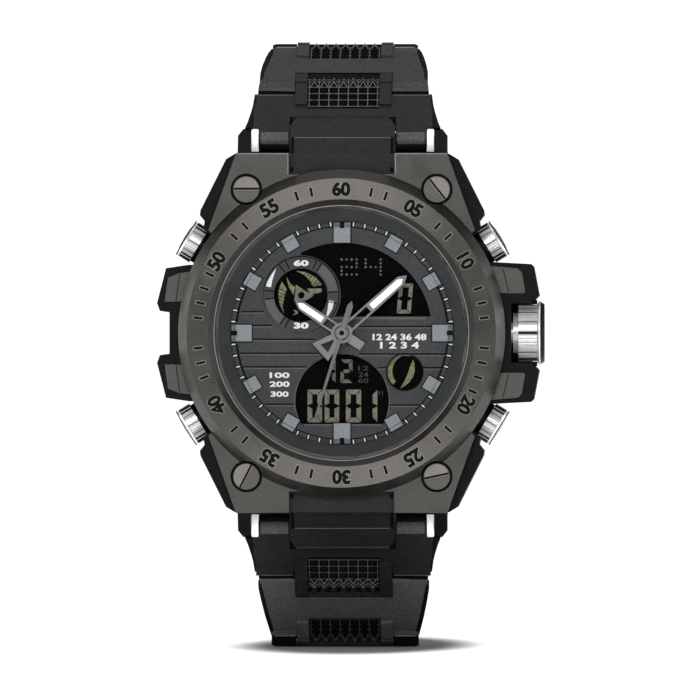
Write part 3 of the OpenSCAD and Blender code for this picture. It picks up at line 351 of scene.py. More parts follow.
def add_text(bm, words, height, matrix, z, bold=0.0, width=None, thick=PRINT):
    """Figures of a given height, centred, standing on level z."""
    curve = bpy.data.curves.new("figures", "FONT")
    curve.body = words
    curve.offset = bold
    curve.extrude = thick / 2
    curve.resolution_u = 3
    mesh = curve_mesh(curve)
    xs = [v.co.x for v in mesh.vertices]
    ys = [v.co.y for v in mesh.vertices]
    scale = height / (max(ys) - min(ys))
    wide = width / (max(xs) - min(xs)) if width else scale
    centre = Matrix.Translation((-(max(xs) + min(xs)) / 2, -(max(ys) + min(ys)) / 2, 0))
    stretch = Matrix.Diagonal((wide, scale, 1, 1))
    add_mesh(bm, mesh, matrix @ Matrix.Translation((0, 0, z + thick / 2)) @ stretch @ centre)


def box_loop(x0, x1, y0, y1):
    return [(x0, y0), (x1, y0), (x1, y1), (x0, y1)]


def circle_loop(r, centre=(0, 0), steps=64):
    return [(centre[0] + r * math.cos(2 * math.pi * i / steps),
             centre[1] + r * math.sin(2 * math.pi * i / steps)) for i in range(steps)]


def sector_loop(r0, r1, clock0, clock1, centre=(0, 0), steps=8):
    """Outline of part of a ring, between two angles clockwise from 12 o'clock."""
    angles = [clock0 + (clock1 - clock0) * i / steps for i in range(steps + 1)]
    outer = [polar(r1, a) for a in angles]
    inner = [polar(r0, a) for a in reversed(angles)]
    return [(centre[0] + x, centre[1] + y) for x, y in outer + inner]


SOFT_ANGLE = math.radians(32)


def joined(mesh, whole):
    """Joins a mesh's corners, and makes its flat faces whole."""
    bm = bmesh.new()
    bm.from_mesh(mesh)
    bmesh.ops.remove_doubles(bm, verts=bm.verts, dist=2e-6)
    if whole:
        bmesh.ops.dissolve_limit(bm, angle_limit=math.radians(1), verts=bm.verts, edges=bm.edges)
    bm.to_mesh(mesh)
    bm.free()


def bevelled(obj, width):
    mod = obj.modifiers.new("edges", "BEVEL")
    mod.width = width * MM
    mod.segments = 2
    mod.limit_method = "ANGLE"
    mod.angle_limit = SOFT_ANGLE
    mod.use_clamp_overlap = True
    even = obj.modifiers.new("even", "WEIGHTED_NORMAL")
    even.keep_sharp = True


def dressed(node, width, finish, cutters=()):
    """Stands for a CAD node, with softened edges and cuts."""
    obj = new_object(node + "_skin", nodes[node].data.copy())
    if cutters:
        joined(obj.data, False)
        for cutter in cutters:
            mod = obj.modifiers.new("cut", "BOOLEAN")
            mod.object = cutter
            mod.solver = "EXACT"
        applied(obj)
    joined(obj.data, not cutters)
    obj.data.shade_smooth()
    obj.data.set_sharp_from_angle(angle=SOFT_ANGLE)
    bevelled(obj, width)
    applied(obj)
    for cutter in cutters:
        bpy.data.objects.remove(cutter)
    shown(obj, body_of[node], finish)
    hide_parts(node)
    return obj


def split_at(obj, x):
    """Splits an object's faces along two planes, x mm to both sides of the dial's centre."""
    bm = bmesh.new()
    bm.from_mesh(obj.data)
    for side in (-1, 1):
        whole = bm.verts[:] + bm.edges[:] + bm.faces[:]
        bmesh.ops.bisect_plane(bm, geom=whole, plane_co=(side * x * MM, 0, 0), plane_no=(1, 0, 0))
    bm.to_mesh(obj.data)
    bm.free()


def tinted(obj, finish, wanted, matrix=Matrix.Identity(4)):
    """Second finish for the faces that a test picks by their centre and normal in a frame of the watch."""
    obj.data.materials.append(M[finish])
    slot = len(obj.data.materials) - 1
    back = (TO_ROW @ matrix).inverted()
    turn = back.to_3x3()
    for face in obj.data.polygons:
        if wanted(back @ face.center, (turn @ face.normal).normalized()):
            face.material_index = slot


def line_loop(p, q, half):
    """Outline of a straight line from p to q."""
    along = Vector((q[0] - p[0], q[1] - p[1])).normalized() * half
    side = (-along.y, along.x)
    return [(p[0] + side[0], p[1] + side[1]), (p[0] - side[0], p[1] - side[1]),
            (q[0] - side[0], q[1] - side[1]), (q[0] + side[0], q[1] + side[1])]


def add_strip(bm, profile, x0, x1, matrix=Matrix.Identity(4)):
    """Band that follows a side profile of (y, z) points from x0 to x1."""
    rows = [[bm.verts.new(matrix @ Vector((x, y, z))) for x in (x0, x1)] for y, z in profile]
    for low, high in zip(rows, rows[1:]):
        bm.faces.new((low[0], low[1], high[1], high[0]))


def painted(node, finish):
    """A CAD node that stays, with a better finish."""
    materials = nodes[node].data.materials
    if len(materials) == 0:
        materials.append(M[finish])
    for i in range(len(materials)):
        materials[i] = M[finish]


# Case, bezel and crown

SHOULDER_X = 9.0


def case_skins():
    body = dressed("case_body", 0.22, "resin")
    split_at(body, SHOULDER_X)
    # Painted shade: the case beyond the shoulders in darker resin, and the front faces beside the crown
    # darker still
    tinted(body, "resin_side_shade", lambda c, n: abs(c.x) > SHOULDER_X)
    tinted(body, "resin_shade", lambda c, n: abs(c.x) > 21 and abs(c.y) < 5.2 and n.z > 0.5)
    dressed("guard_plates", 0.12, "plate")
    dressed("bezel_base", 0.14, "gun")
    ring = dressed("bezel_ring", 0.07, "ring")
    # Painted shade: the ring's slopes in the darker copy of its metal
    tinted(ring, "slope", lambda c, n: n.z < 0.97)
    # The screws in the shaded copy of the gunmetal, painted shade, with their lit halves drawn over them
    dressed("bezel_screws", 0.10, "screw_shaded")
    dressed("case_back", 0.15, "brushed")
    dressed("case_back_screws", 0.06, "polished")
    dressed("lug_sleeves", 0.12, "sleeve")


PLACES = {"upper_right": 31.3, "upper_left": 148.7, "lower_left": 211.3, "lower_right": -31.3}
SIDE_Z = 6.8
PUSHER_R = 2.85
PUSHER_HEAD = (24.4, 26.65)
# Angle from the front line and width of each bar
PUSHER_BARS = ((-66, 0.45), (-47, 0.34), (47, 0.34), (66, 0.45))
CROWN_R = 4.1
CROWN_BODY = (25.58, 28.3)
CROWN_BEVEL = 28.72
CROWN_RIM = (28.95, 29.31)
CROWN_BARS = ((24, 0.16), (47, 0.10), (12, 0.06), (-11, 0.08), (-25, 0.08), (-43, 0.22), (-66, 1.0))
COLLAR_R = 2.9
COLLAR_LINES = (25.05, 25.35)
END_FACING = 0.95


def add_bar(bm, place, r, angle, width, x0, x1):
    """Thin bar along a round side piece, at an angle from its front line."""
    matrix = place @ Matrix.Rotation(-math.radians(angle), 4, "X")
    add_plate(bm, [box_loop(x0, x1, -width / 2, width / 2)], r - 0.12, r + 0.02, 0, matrix)


def add_band(bm, place, r, x0, x1):
    """Thin band round a side piece, from x0 to x1 along its axis."""
    rows = [[bm.verts.new(place @ Vector((x, y, z))) for x in (x0, x1)] for y, z in circle_loop(r)]
    for near, far in zip(rows, rows[1:] + rows[:1]):
        bm.faces.new((near[0], near[1], far[1], far[0]))


def side_place(turn):
    return Matrix.Rotation(math.radians(turn), 4, "Z") @ Matrix.Translation((0, 0, SIDE_Z))


def pushers():
    """Polished pushers with painted shadow on the skirt by the case, stripes of painted dark reflection near
    their edges, a band of painted shade at the outer end, and grey lines of painted shade in the fine grooves
    between.
    """
    x0, x1 = PUSHER_HEAD[0] + 0.02, PUSHER_HEAD[1] - 0.45
    for name, turn in PLACES.items():
        node = "pusher_" + name
        place = side_place(turn)
        skin = dressed(node, 0.09, "chrome")
        tinted(skin, "brushed", lambda c, n: n.x > END_FACING, place)
        # Painted shadow on the skirt next to the case
        tinted(skin, "steel_dark_and_shade", lambda c, n: c.x < x0, place)
        dark, grey = sketches(2)
        # Painted dark reflections as bars near the edges, painted shade at the outer end, and grey lines of
        # painted shade in the grooves
        for angle, width in PUSHER_BARS:
            add_bar(dark, place, PUSHER_R, angle, width, x0, x1)
        add_band(dark, place, PUSHER_R + 0.01, PUSHER_HEAD[1] - 0.15, PUSHER_HEAD[1] + 0.01)
        add_band(grey, place, PUSHER_R + 0.01, x1 - 0.07, x1)
        for i in range(-4, 5):
            add_bar(grey, place, PUSHER_R, i * 7.5, 0.07, x0, x1)
        piece(node + "_stripes", dark, "steel_dark_and_shade", node)
        piece(node + "_grooves", grey, "steel_groove_shade", node)


def crown():
    """Bright fluted crown with grey lines of painted shade between its flutes, on its shaded side and on the
    collar, one slot darkened as painted shade, and painted shade on its outer bevel and rim.
    """
    skin = dressed("crown", 0.08, "chrome")
    tinted(skin, "brushed", lambda c, n: n.x > END_FACING)
    # Painted shade on the outer bevel
    tinted(skin, "steel_dark_and_shade", lambda c, n: c.x > CROWN_BEVEL and n.x < END_FACING)
    place = side_place(0)
    dark, grey = sketches(2)
    x0, x1 = CROWN_BODY
    # Painted shade: a dark slot, grey lines between the flutes and on the shaded side, a dark outer rim and
    # grey lines on the collar
    add_bar(dark, place, CROWN_R, 0.5, 0.30, x0, x1)
    for angle, width in CROWN_BARS:
        add_bar(grey, place, CROWN_R, angle, width, x0, x1)
    for i in range(9):
        add_bar(grey, place, CROWN_R, 80 + 22.5 * i, 0.12, x0, x1)
    add_band(dark, place, CROWN_R + 0.02, *CROWN_RIM)
    for x in COLLAR_LINES:
        add_band(grey, place, COLLAR_R + 0.02, x, x + 0.06)
    piece("crown_slot", dark, "steel_dark_and_shade", "crown")
    piece("crown_lines", grey, "steel_groove_shade", "crown")


SCREWS = ((13.8, 20.8, -52), (-13.8, 20.8, 0), (-13.8, -20.8, 63), (13.8, -20.8, 12))
SCREW_R = 1.82
SLOT_HALF = 0.25
SLOT_LEVELS = (0.38, 0.05)
RECESS_R = 2.24
RECESS_LEVELS = (0.8, 0.7)


def half_disc(r, low, steps=24):
    """Part of a disc above a level, its chord flat."""
    start = math.asin(low / r)
    angles = [start + (math.pi - 2 * start) * i / steps for i in range(steps + 1)]
    return [(r * math.cos(a), r * math.sin(a)) for a in angles]


def screw_faces():
    """Heads with one half in painted highlight and the other in painted shade, painted shade in the slot with
    a painted highlight along its lower edge, and painted shade in the recess round each.
    """
    light, low, ink = sketches(3)
    top = top_of("bezel_screws")
    slot = [top - level for level in SLOT_LEVELS]
    recess = [top - level for level in RECESS_LEVELS]
    for x, y, turn in SCREWS:
        here = Matrix.Translation((x, y, 0))
        head = here @ Matrix.Rotation(math.radians(turn), 4, "Z")
        upper = turn if turn < 90 else turn - 180
        add_print(light, [half_disc(SCREW_R, SLOT_HALF)], top, head)
        add_print(low, [half_disc(SCREW_R, SLOT_HALF + 0.12)], top,
                  here @ Matrix.Rotation(math.radians(upper + 180), 4, "Z"))
        add_plate(ink, [box_loop(-SCREW_R, SCREW_R, 0.02, SLOT_HALF)], *slot, 0, head)
        add_plate(light, [box_loop(-SCREW_R, SCREW_R, -0.2, -0.07)], *slot, 0, head)
        add_plate(ink, [circle_loop(r, (x, y)) for r in (RECESS_R, SCREW_R + 0.1)], *recess)
    piece("screw_upper_faces", light, "screw_lit")
    piece("screw_lower_faces", low, "screw_shaded")
    piece("screw_recesses", ink, "ink")


# Painted shade and highlights: pixel ends of the guard plates' fold lines, the dark corner beside the crown,
# the lug plates' lit edge, and radii of the lit ring round the crystal
GUARD_FOLDS = (((503, 268.4), (508.8, 292)), ((180, 274), (176.1, 302.1)))
GUARD_TIP = [(27.0, 4.14), (28.28, 4.14), (28.28, 4.75), (27.2, 5.2), (27.0, 5.2)]
LUG_EDGE = [(7.75, 26.02), (15.2, 26.02), (15.2, 25.92), (7.85, 25.92), (7.85, 23.0), (7.75, 23.0)]
CRYSTAL_LINE = (18.52, 18.40)


def case_lines():
    """Fold lines of the guard plates in painted shade, a dark corner of painted shade beside the crown,
    painted highlights along the lug plates' edges and a painted highlight round the crystal.
    """
    dark, light, rim_highlight = sketches(3)
    for side in (1, -1):
        for ends in GUARD_FOLDS:
            p, q = [(x, side * y) for x, y in px_loop(*ends)]
            add_print(dark, [line_loop(p, q, 0.06)], top_of("guard_plates"))
        add_plate(dark, [[(x, side * y) for x, y in GUARD_TIP]], SIDE_Z, SIDE_Z + 2.2)
        add_print(light, [[(side * x, y) for x, y in LUG_EDGE]], top_of("bezel_base"))
    circles = [circle_loop(r, steps=160) for r in CRYSTAL_LINE]
    add_plate(rim_highlight, circles, BEZEL_TOP - 0.99, BEZEL_TOP - 0.90)
    piece("guard_fold_shade", dark, "ink")
    piece("lug_plate_edge_highlights", light, "rim_highlight")
    piece("crystal_rim_highlight", rim_highlight, "rim_highlight")


BLOCK_PROFILE = [(23.4, 12.62), (24, 12.62), (28.4, 9.12)]
BLOCK_CREASE = [(28.28, 9.25), (28.42, 9.13)]
BLOCK_LIP = [(-6.9, 30.9), (6.9, 30.9), (6.7, 31.32), (-6.7, 31.32)]
BLOCK_HALF = 7.6


def block_details():
    """Sides in painted shade, a painted highlight along the crease, and the lip of the blocks that the strap
    turns round.
    """
    dark, light, lips = sketches(3)
    inner, outer = BLOCK_HALF - 0.6, BLOCK_HALF - 0.15
    for side in (1, -1):
        flip = Matrix.Diagonal((1, side, 1, 1))
        add_strip(dark, BLOCK_PROFILE, -outer, -inner, flip)
        add_strip(dark, BLOCK_PROFILE, inner, outer, flip)
        add_strip(light, BLOCK_CREASE, -inner, inner, flip)
        add_plate(lips, [BLOCK_LIP], 6.1, 6.75, 0.05, flip)
    piece("block_lips", lips, "resin")
    piece("block_sides", dark, "resin_shade")
    piece("block_creases", light, "resin_edge_highlight")


FIGURE_R = 20.85
FIGURE_HEIGHT = 2.15
BARE_HOURS = (3, 9)


def bezel_numerals():
    """Plain minute figures round the bezel, filled with black, each in a thin rim of painted highlight."""
    figures, rims = sketches(2)
    for i in range(12):
        if i in BARE_HOURS:
            continue
        words = f"{i * 5:02d}" if i else "60"
        place = turned(i * 30) @ Matrix.Translation((0, FIGURE_R, 0))
        add_text(figures, words, FIGURE_HEIGHT, place, BEZEL_TOP, bold=0.05)
        add_text(rims, words, FIGURE_HEIGHT + 0.15, place, BEZEL_TOP - PRINT / 2, bold=0.085)
    piece("bezel_figures", figures, "ink")
    piece("bezel_figure_rims", rims, "rim_highlight")


def bezel_ticks():
    """Short filled ticks between the bezel's figures, each in a thin rim of painted highlight."""
    bm, rims = sketches(2)
    for i in range(60):
        near = min(i % 5, 5 - i % 5)
        beside_figure = near == 1 and i // 5 not in BARE_HOURS and round(i / 5) not in BARE_HOURS
        if near == 0 or beside_figure:
            continue
        add_print(bm, [box_loop(-0.2, 0.2, 20.15, 21.5)], BEZEL_TOP, turned(i * 6))
        add_print(rims, [box_loop(-0.27, 0.27, 20.07, 21.58)], BEZEL_TOP, turned(i * 6), coats=0.5)
    piece("bezel_ticks", bm, "ink")
    piece("bezel_tick_rims", rims, "rim_highlight")


# Dial

def px_loop(*points):
    return [at(x, y) for x, y in points]


def px_box(x0, x1, y0, y1):
    return px_loop((x0, y0), (x1, y0), (x1, y1), (x0, y1))


def add_px_text(bm, words, place, size, level, bold=0.0):
    """Figures centred on a pixel, their width and height in pixels too."""
    width, height = size
    add_text(bm, words, height * PX, Matrix.Translation((*at(*place), 0)), level, bold, width * PX)


TRACK_R = (16.2, 15.35)
CELL_R = (15.52, 16.1)


def minute_track():
    """Narrow strip of cells between short white ticks, at the dial's edge."""
    strip, cells, ticks = sketches(3)
    add_print(strip, [circle_loop(r, steps=180) for r in TRACK_R], DIAL_TOP)
    level = DIAL_TOP + PRINT
    for i in range(60):
        add_print(cells, [sector_loop(*CELL_R, i * 6 + 1, i * 6 + 5, steps=3)], level)
        if i % 5:
            add_print(ticks, [box_loop(-0.09, 0.09, 15.56, 16.12)], level, turned(i * 6), coats=2)
    piece("minute_strip", strip, "ink")
    piece("minute_cells", cells, "dial")
    piece("minute_ticks", ticks, "print")


def chapter_lines():
    """Thin raised lines on the sloped ring."""
    bm = bmesh.new()
    line = box_loop(-0.06, 0.06, 16.25, 16.75)
    for i in range(12):
        add_plate(bm, [line], DIAL_TOP + 0.3, DIAL_TOP + 0.95, 0, turned(i * 30))
    piece("chapter_marks", bm, "dial_light")


LARGE_BAND = box_loop(-1.16, 1.16, 15.35, 15.95)
SMALL_BAND = box_loop(-0.95, 0.95, 15.42, 15.56)
NOTCH = box_loop(-0.34, 0.34, 15.2, 16.0)
LARGE_FOOT = box_loop(-1.36, 1.36, 12.94, 16.1)
SMALL_FOOT = box_loop(-1.16, 1.16, 13.84, 16.1)


def marker_details():
    """Notch at the outer end of the large markers drawn as painted shade, a darker band there as painted
    shade on their step, and a darker line across the small ones.
    """
    notches, bands = sketches(2)
    for i in range(12):
        if i % 3 == 0:
            add_print(notches, [NOTCH], MARKER_TOP + PRINT / 2, turned(i * 30), coats=0.5)
        add_print(bands, [SMALL_BAND if i % 3 else LARGE_BAND], MARKER_TOP, turned(i * 30), coats=0.5)
    piece("marker_notches", notches, "ink")
    piece("marker_bands", bands, "marker_rim")


def marker_shadows():
    """Painted shadow round each hour marker's foot."""
    bm = bmesh.new()
    for i in range(12):
        add_print(bm, [SMALL_FOOT if i % 3 else LARGE_FOOT], DIAL_TOP, turned(i * 30), coats=2.5)
    piece("marker_foot_shadows", bm, "ink")


# Height and two ends of each line, in pixels
GROOVES = [(311.7, 241, 263.5), (325.4, 238, 272), (339.3, 250, 315), (353.3, 240, 319), (366.9, 243, 306),
           (404.3, 265, 294), (326.5, 353, 433), (354.1, 359, 446), (367.8, 377, 386.5), (367.8, 422.5, 442),
           (405.1, 389.5, 419)]


def dial_grooves():
    """Lines of painted shade in the grooves across the dial, with a faint painted highlight on the edge under
    each.
    """
    dark, light = sketches(2)
    for y, x0, x1 in GROOVES:
        add_print(dark, [px_box(x0, x1, y - 0.8, y + 0.7)], DIAL_TOP)
        add_print(light, [px_box(x0, x1, y + 0.9, y + 1.9)], DIAL_TOP)
    piece("dial_grooves", dark, "ink")
    piece("dial_groove_edges", light, "dial_light")


PORT = (404.6, 372)
PORT_R = 2.6
SUBDIAL_WINDOW = (301.2, 294.2)
SUBDIAL_WINDOW_R = 5.4
# Pixel boxes of the windows' straight edges, then angles of curved ones and of lines along the sloped ring
WINDOW_EDGES = ((325, 426, 317.4, 319.2), (304, 381, 424.4, 425.6))
ARC_EDGES = ((62, 116), (-116, -62))
ARC_R = (6.8, 6.92)
ARC_CENTRE = (0, -9.85)
RING_LINES = ((62, 84), (96, 117), (243, 264), (276, 298))
RING_LINE_R = (15.2, 15.36)


def dial_edges():
    """Painted highlights on the bevels along the windows' straight and curved edges, and painted shadow round
    the round windows and along the sloped ring.
    """
    light, dark = sketches(2)
    for box in WINDOW_EDGES:
        add_print(light, [px_box(*box)], DIAL_TOP)
    for centre, r in ((at(*PORT), PORT_R), (at(*SUBDIAL_WINDOW), SUBDIAL_WINDOW_R)):
        add_print(dark, [circle_loop(r + 0.16, centre), circle_loop(r + 0.005, centre)], DIAL_TOP)
    for clocks in ARC_EDGES:
        add_print(light, [sector_loop(*ARC_R, *clocks, ARC_CENTRE, 24)], DIAL_TOP)
    for clocks in RING_LINES:
        add_print(dark, [sector_loop(*RING_LINE_R, *clocks, steps=12)], DIAL_TOP)
    piece("dial_edge_highlights", light, "dial_light")
    piece("dial_edge_shadows", dark, "ink")


# Words, place, and width and height, in pixels
DIAL_PRINT = [("100", (279.5, 375.2), (20, 5.6)), ("200", (279.5, 384.1), (20, 5.6)),
              ("300", (279.5, 394.1), (18, 5.6)), ("12 24 36 48", (399.5, 337.0), (54, 6.6)),
              ("1 2 3 4", (399.5, 345.2), (39, 6.8))]


def dial_print():
    """Plain numbers where the dial has small printed lines."""
    bm = bmesh.new()
    for words, place, size in DIAL_PRINT:
        add_px_text(bm, words, place, size, DIAL_TOP, 0.035)
    piece("dial_figures", bm, "print")


# Displays

SEGMENTS = {"0": "abcdef", "1": "bc", "2": "abged"}
SEGMENT_GAP = 0.45


def segment_loops(w, h, t, g):
    """Outlines of seven strokes t wide in a box w by h, mitred where they meet, with gaps of g."""
    m = h / 2

    def upright(x, s, top):
        y0, y1 = (m, h) if top else (0, m)
        inner_low = y0 + (t / 2 if top else t) + g
        inner_high = y1 - (t if top else t / 2) - g
        return [(x, y0 + g), (x, y1 - g), (x + s * t, inner_high), (x + s * t, inner_low)]

    return {
        "a": [(g, h), (w - g, h), (w - t - g, h - t), (t + g, h - t)],
        "d": [(g, 0), (t + g, t), (w - t - g, t), (w - g, 0)],
        "g": [(t / 2 + g, m), (t + g, m + t / 2), (w - t - g, m + t / 2), (w - t / 2 - g, m),
              (w - t - g, m - t / 2), (t + g, m - t / 2)],
        "f": upright(0, 1, True), "e": upright(0, 1, False),
        "b": upright(w, -1, True), "c": upright(w, -1, False),
    }


def add_digit(bm, digit, box, stroke, slant=0.0):
    """Seven-stroke figure in a pixel box (left, right, top, bottom) on the display panel."""
    x0, x1, y0, y1 = box
    w, h = (x1 - x0) * PX, (y1 - y0) * PX
    left, low = at(x0, y1)
    loops = segment_loops(w, h, stroke * PX, SEGMENT_GAP * PX)
    for name in SEGMENTS[digit]:
        add_print(bm, [[(left + x + slant * y, low + y) for x, y in loops[name]]], PANEL_TOP)


DOTS = {"2": ("1111", "0001", "1111", "1000", "1111"), "4": ("1001", "1001", "1111", "0001", "0001")}


def add_dots(bm, digit, box, r=0.17):
    """Figure made of round dots, five rows of four, in a pixel box."""
    x0, x1, y0, y1 = box
    for row, line in enumerate(DOTS[digit]):
        for col, mark in enumerate(line):
            if mark == "1":
                centre = at(x0 + (x1 - x0) * col / 3, y0 + (y1 - y0) * row / 4)
                add_print(bm, [circle_loop(r, centre, 10)], PANEL_TOP)


# Pixel rows of the figures, from top to bottom
DOT_ROW = (259.5, 274.5)
UPPER_ROW = (283.5, 313.5)
MIDDLE_ROW = (359.5, 383)
LOWER_ROW = (389.6, 422.3)
LOWER_FIGURES = (("0", 307.4, 321.9), ("0", 324.5, 339), ("0", 345.8, 361), ("1", 362.5, 377.2))
SMALL_FIGURES = (("12", 368.4), ("24", 374.6), ("60", 380.6))
SMALL_X = 363.2
COMMAS = (379, 382)


def screen():
    """Black screen on the display panel, under the figures."""
    bm = bmesh.new()
    add_print(bm, [circle_loop(15.2, steps=120), circle_loop(3.0)], PANEL_TOP, coats=0.6)
    piece("display_screen", bm, "screen")


def displays():
    bright, soft, dim = sketches(3)
    add_dots(soft, "2", (341.5, 356.5, *DOT_ROW))
    add_dots(soft, "4", (365.5, 380.5, *DOT_ROW))
    add_digit(bright, "0", (396.5, 410.5, *UPPER_ROW), 3.9, slant=0.09)
    add_digit(soft, "1", (327, 335.5, *MIDDLE_ROW), 3.6)
    add_digit(soft, "2", (340.3, 352.4, *MIDDLE_ROW), 3.6)
    for digit, left, right in LOWER_FIGURES:
        add_digit(bright, digit, (left, right, *LOWER_ROW), 4.7)
    for words, y in SMALL_FIGURES:
        add_px_text(dim, words, (SMALL_X, y), (10, 4.6), PANEL_TOP)
    for x in COMMAS:
        add_print(dim, [px_loop((x, 391), (x + 1, 391), (x + 0.4, 395), (x - 0.4, 395))], PANEL_TOP)
    piece("display_figures", bright, "segment")
    piece("display_soft_figures", soft, "segment_soft")
    piece("display_small", dim, "segment_dim")


def arc_between(centre, r, clock0, clock1, steps=12):
    arc = [polar(r, clock0 + (clock1 - clock0) * i / steps) for i in range(steps + 1)]
    return [(centre[0] + x, centre[1] + y) for x, y in arc]


def port_marks():
    """Two crescents in the small round window."""
    bm = bmesh.new()
    cx, cy = at(*PORT)
    outer = arc_between((cx, cy), 2.48, -138, -14)
    inner = arc_between((cx + 0.62, cy + 0.12), 2.42, -14, -128)
    add_print(bm, [outer + inner], PANEL_TOP)
    lens = px_loop((413.0, 359.6), (414.4, 364), (414.7, 370), (413.4, 376), (409.8, 381.6), (404.8, 386),
                   (400.4, 388.3), (403.2, 382.6), (406.4, 377.0), (408.6, 371), (410.4, 365.4))
    add_print(bm, [lens], PANEL_TOP)
    piece("port_crescents", bm, "olive")


def subdial_fan():
    """Three blades and two striped fans round a hub, seen in the small dial."""
    bright, olive, stripes = sketches(3)
    hub = px_loop((295.6, 284.6), (298.2, 286.2), (304, 290.2), (309.5, 293.4), (313.6, 295.4),
                  (309.2, 298.6), (304, 300.8), (299, 301.4), (293.8, 301.4), (294.6, 295.6), (295.4, 290))
    add_print(bright, [hub, circle_loop(3.3 * PX, at(301.1, 295.2), 20)], PANEL_TOP)
    arm = px_loop((306.6, 288.6), (313, 288.6), (321.2, 288.2), (321.6, 292.2), (310.6, 294.4))
    blade = px_loop((293.2, 309.4), (297.6, 311.2), (297.8, 313.6), (292, 315.4), (295.2, 312.6))
    small = px_loop((286.3, 276.8), (290, 283), (294.8, 287.4), (293.3, 294.8), (288.4, 286.8))
    left = px_loop((281.5, 281.4), (286.4, 288.8), (284.2, 297), (282.4, 306), (283.8, 314), (279.6, 304.4),
                   (278, 294.8), (279, 288.2))
    right = px_loop((295.8, 270.8), (306, 272.2), (316, 277.4), (321.8, 284.8), (312.8, 286.5),
                    (309.4, 280.2), (303.6, 274.6))
    for bm, loops in ((bright, (arm, blade)), (olive, (small, left, right))):
        for loop in loops:
            add_print(bm, [loop], PANEL_TOP)
    for i in range(6):
        y = 289.5 + 3.6 * i
        stripe = px_loop((277.6, y - 2), (286.4, y + 2.6), (286.4, y + 3.3), (277.6, y - 1.2))
        add_print(stripes, [stripe], PANEL_TOP + PRINT, coats=0.6)
        x, y = 304.4 + 2.6 * i, 273.2 + 2.1 * i
        stripe = px_loop((x - 2.6, y + 4.4), (x + 3.4, y - 4), (x + 4.0, y - 3.7), (x - 2.0, y + 4.7))
        add_print(stripes, [stripe], PANEL_TOP + PRINT, coats=0.6)
    piece("fan_hub", bright, "segment")
    piece("fan_blades", olive, "olive")
    piece("fan_stripes", stripes, "lcd")


SUBDIAL = (301.1, 294.1)
RING_MARKS = (-25, 25, 34, 86, 105, 205.8, 215.2, 262, 276, -37)
RING_MARK = box_loop(-0.09, 0.09, 3.95, 5.36)
PALE_STRETCHES = ((36, 84.5), (217, 260.5))
PALE_R = (4.02, 5.3)
LEFT_WEDGE = px_loop((276.2, 268.0), (271.2, 274.8), (267.4, 281.6), (265.9, 286.3), (271.0, 287.2),
                     (271.9, 281.6), (273.6, 276))
RIGHT_WEDGE = px_loop((329.0, 300.2), (334.0, 301.4), (332.2, 309), (328.0, 316.2), (326.0, 316.2),
                      (327.6, 309))


def subdial_marks():
    """Marks on the small dial's ring: lines across it, lighter stretches, white wedges and plain numbers."""
    lines, pale, white = sketches(3)
    centre = at(*SUBDIAL)
    here = Matrix.Translation((*centre, 0))
    for clock in RING_MARKS:
        add_print(lines, [RING_MARK], SUBDIAL_TOP, here @ turned(clock))
    for clocks in PALE_STRETCHES:
        add_print(pale, [sector_loop(*PALE_R, *clocks, centre, 16)], SUBDIAL_TOP, coats=0.5)
    for wedge in (LEFT_WEDGE, RIGHT_WEDGE):
        add_print(white, [wedge], SUBDIAL_TOP)
    for words, y in (("60", 263.0), ("30", 325.6)):
        add_px_text(white, words, (SUBDIAL[0], y), (15, 6.2), SUBDIAL_TOP, 0.05)
    piece("subdial_lines", lines, "ink")
    piece("subdial_pale", pale, "chapter")
    piece("subdial_white", white, "print")


# Hands

HOUR_CLOCK = 304.0
MINUTE_CLOCK = 48.4
# Root, point and half width of the filling
HOUR_BLADE = (3.43, 7.7, 0.42)
MINUTE_BLADE = (5.75, 11.8, 0.44)
HUB_R = 0.76
PIN_R = 0.36
SHADE_R = (1.1, 0.98)


def hand_lume(name, clock, blade, node):
    """White filling in a hand's blade, from its root to the point."""
    top = top_of(node)
    r0, r1, half = blade
    bm = bmesh.new()
    loop = [(-half, r0), (half, r0), (half, r1 - 1.5 * half), (0, r1), (-half, r1 - 1.5 * half)]
    add_plate(bm, [loop], top, top + 0.04, 0.012, turned(clock))
    piece(name, bm, "lume", body_of[node])


def hub_caps():
    """Ring of the hands' hub, painted shade in the hole in its middle, and a painted shadow round it."""
    ring, hole, shade = sketches(3)
    top = top_of("second_hand")
    add_plate(ring, [circle_loop(HUB_R), circle_loop(PIN_R)], top, top + 0.12, 0.04)
    add_print(hole, [circle_loop(PIN_R)], top)
    add_print(shade, [circle_loop(r) for r in SHADE_R], top_of("minute_hand"))
    piece("hub_shade", shade, "ink", "minute_hand")
    piece("hub_ring", ring, "hand", "second_hand")
    piece("hub_hole", hole, "ink", "second_hand")


def hands():
    dressed("hour_hand", 0.05, "hand")
    dressed("minute_hand", 0.05, "hand")
    dressed("second_hand", 0.04, "hand_tail")
    hand_lume("hour_lume", HOUR_CLOCK, HOUR_BLADE, "hour_hand")
    hand_lume("minute_lume", MINUTE_CLOCK, MINUTE_BLADE, "minute_hand")
    hub_caps()


# Strap

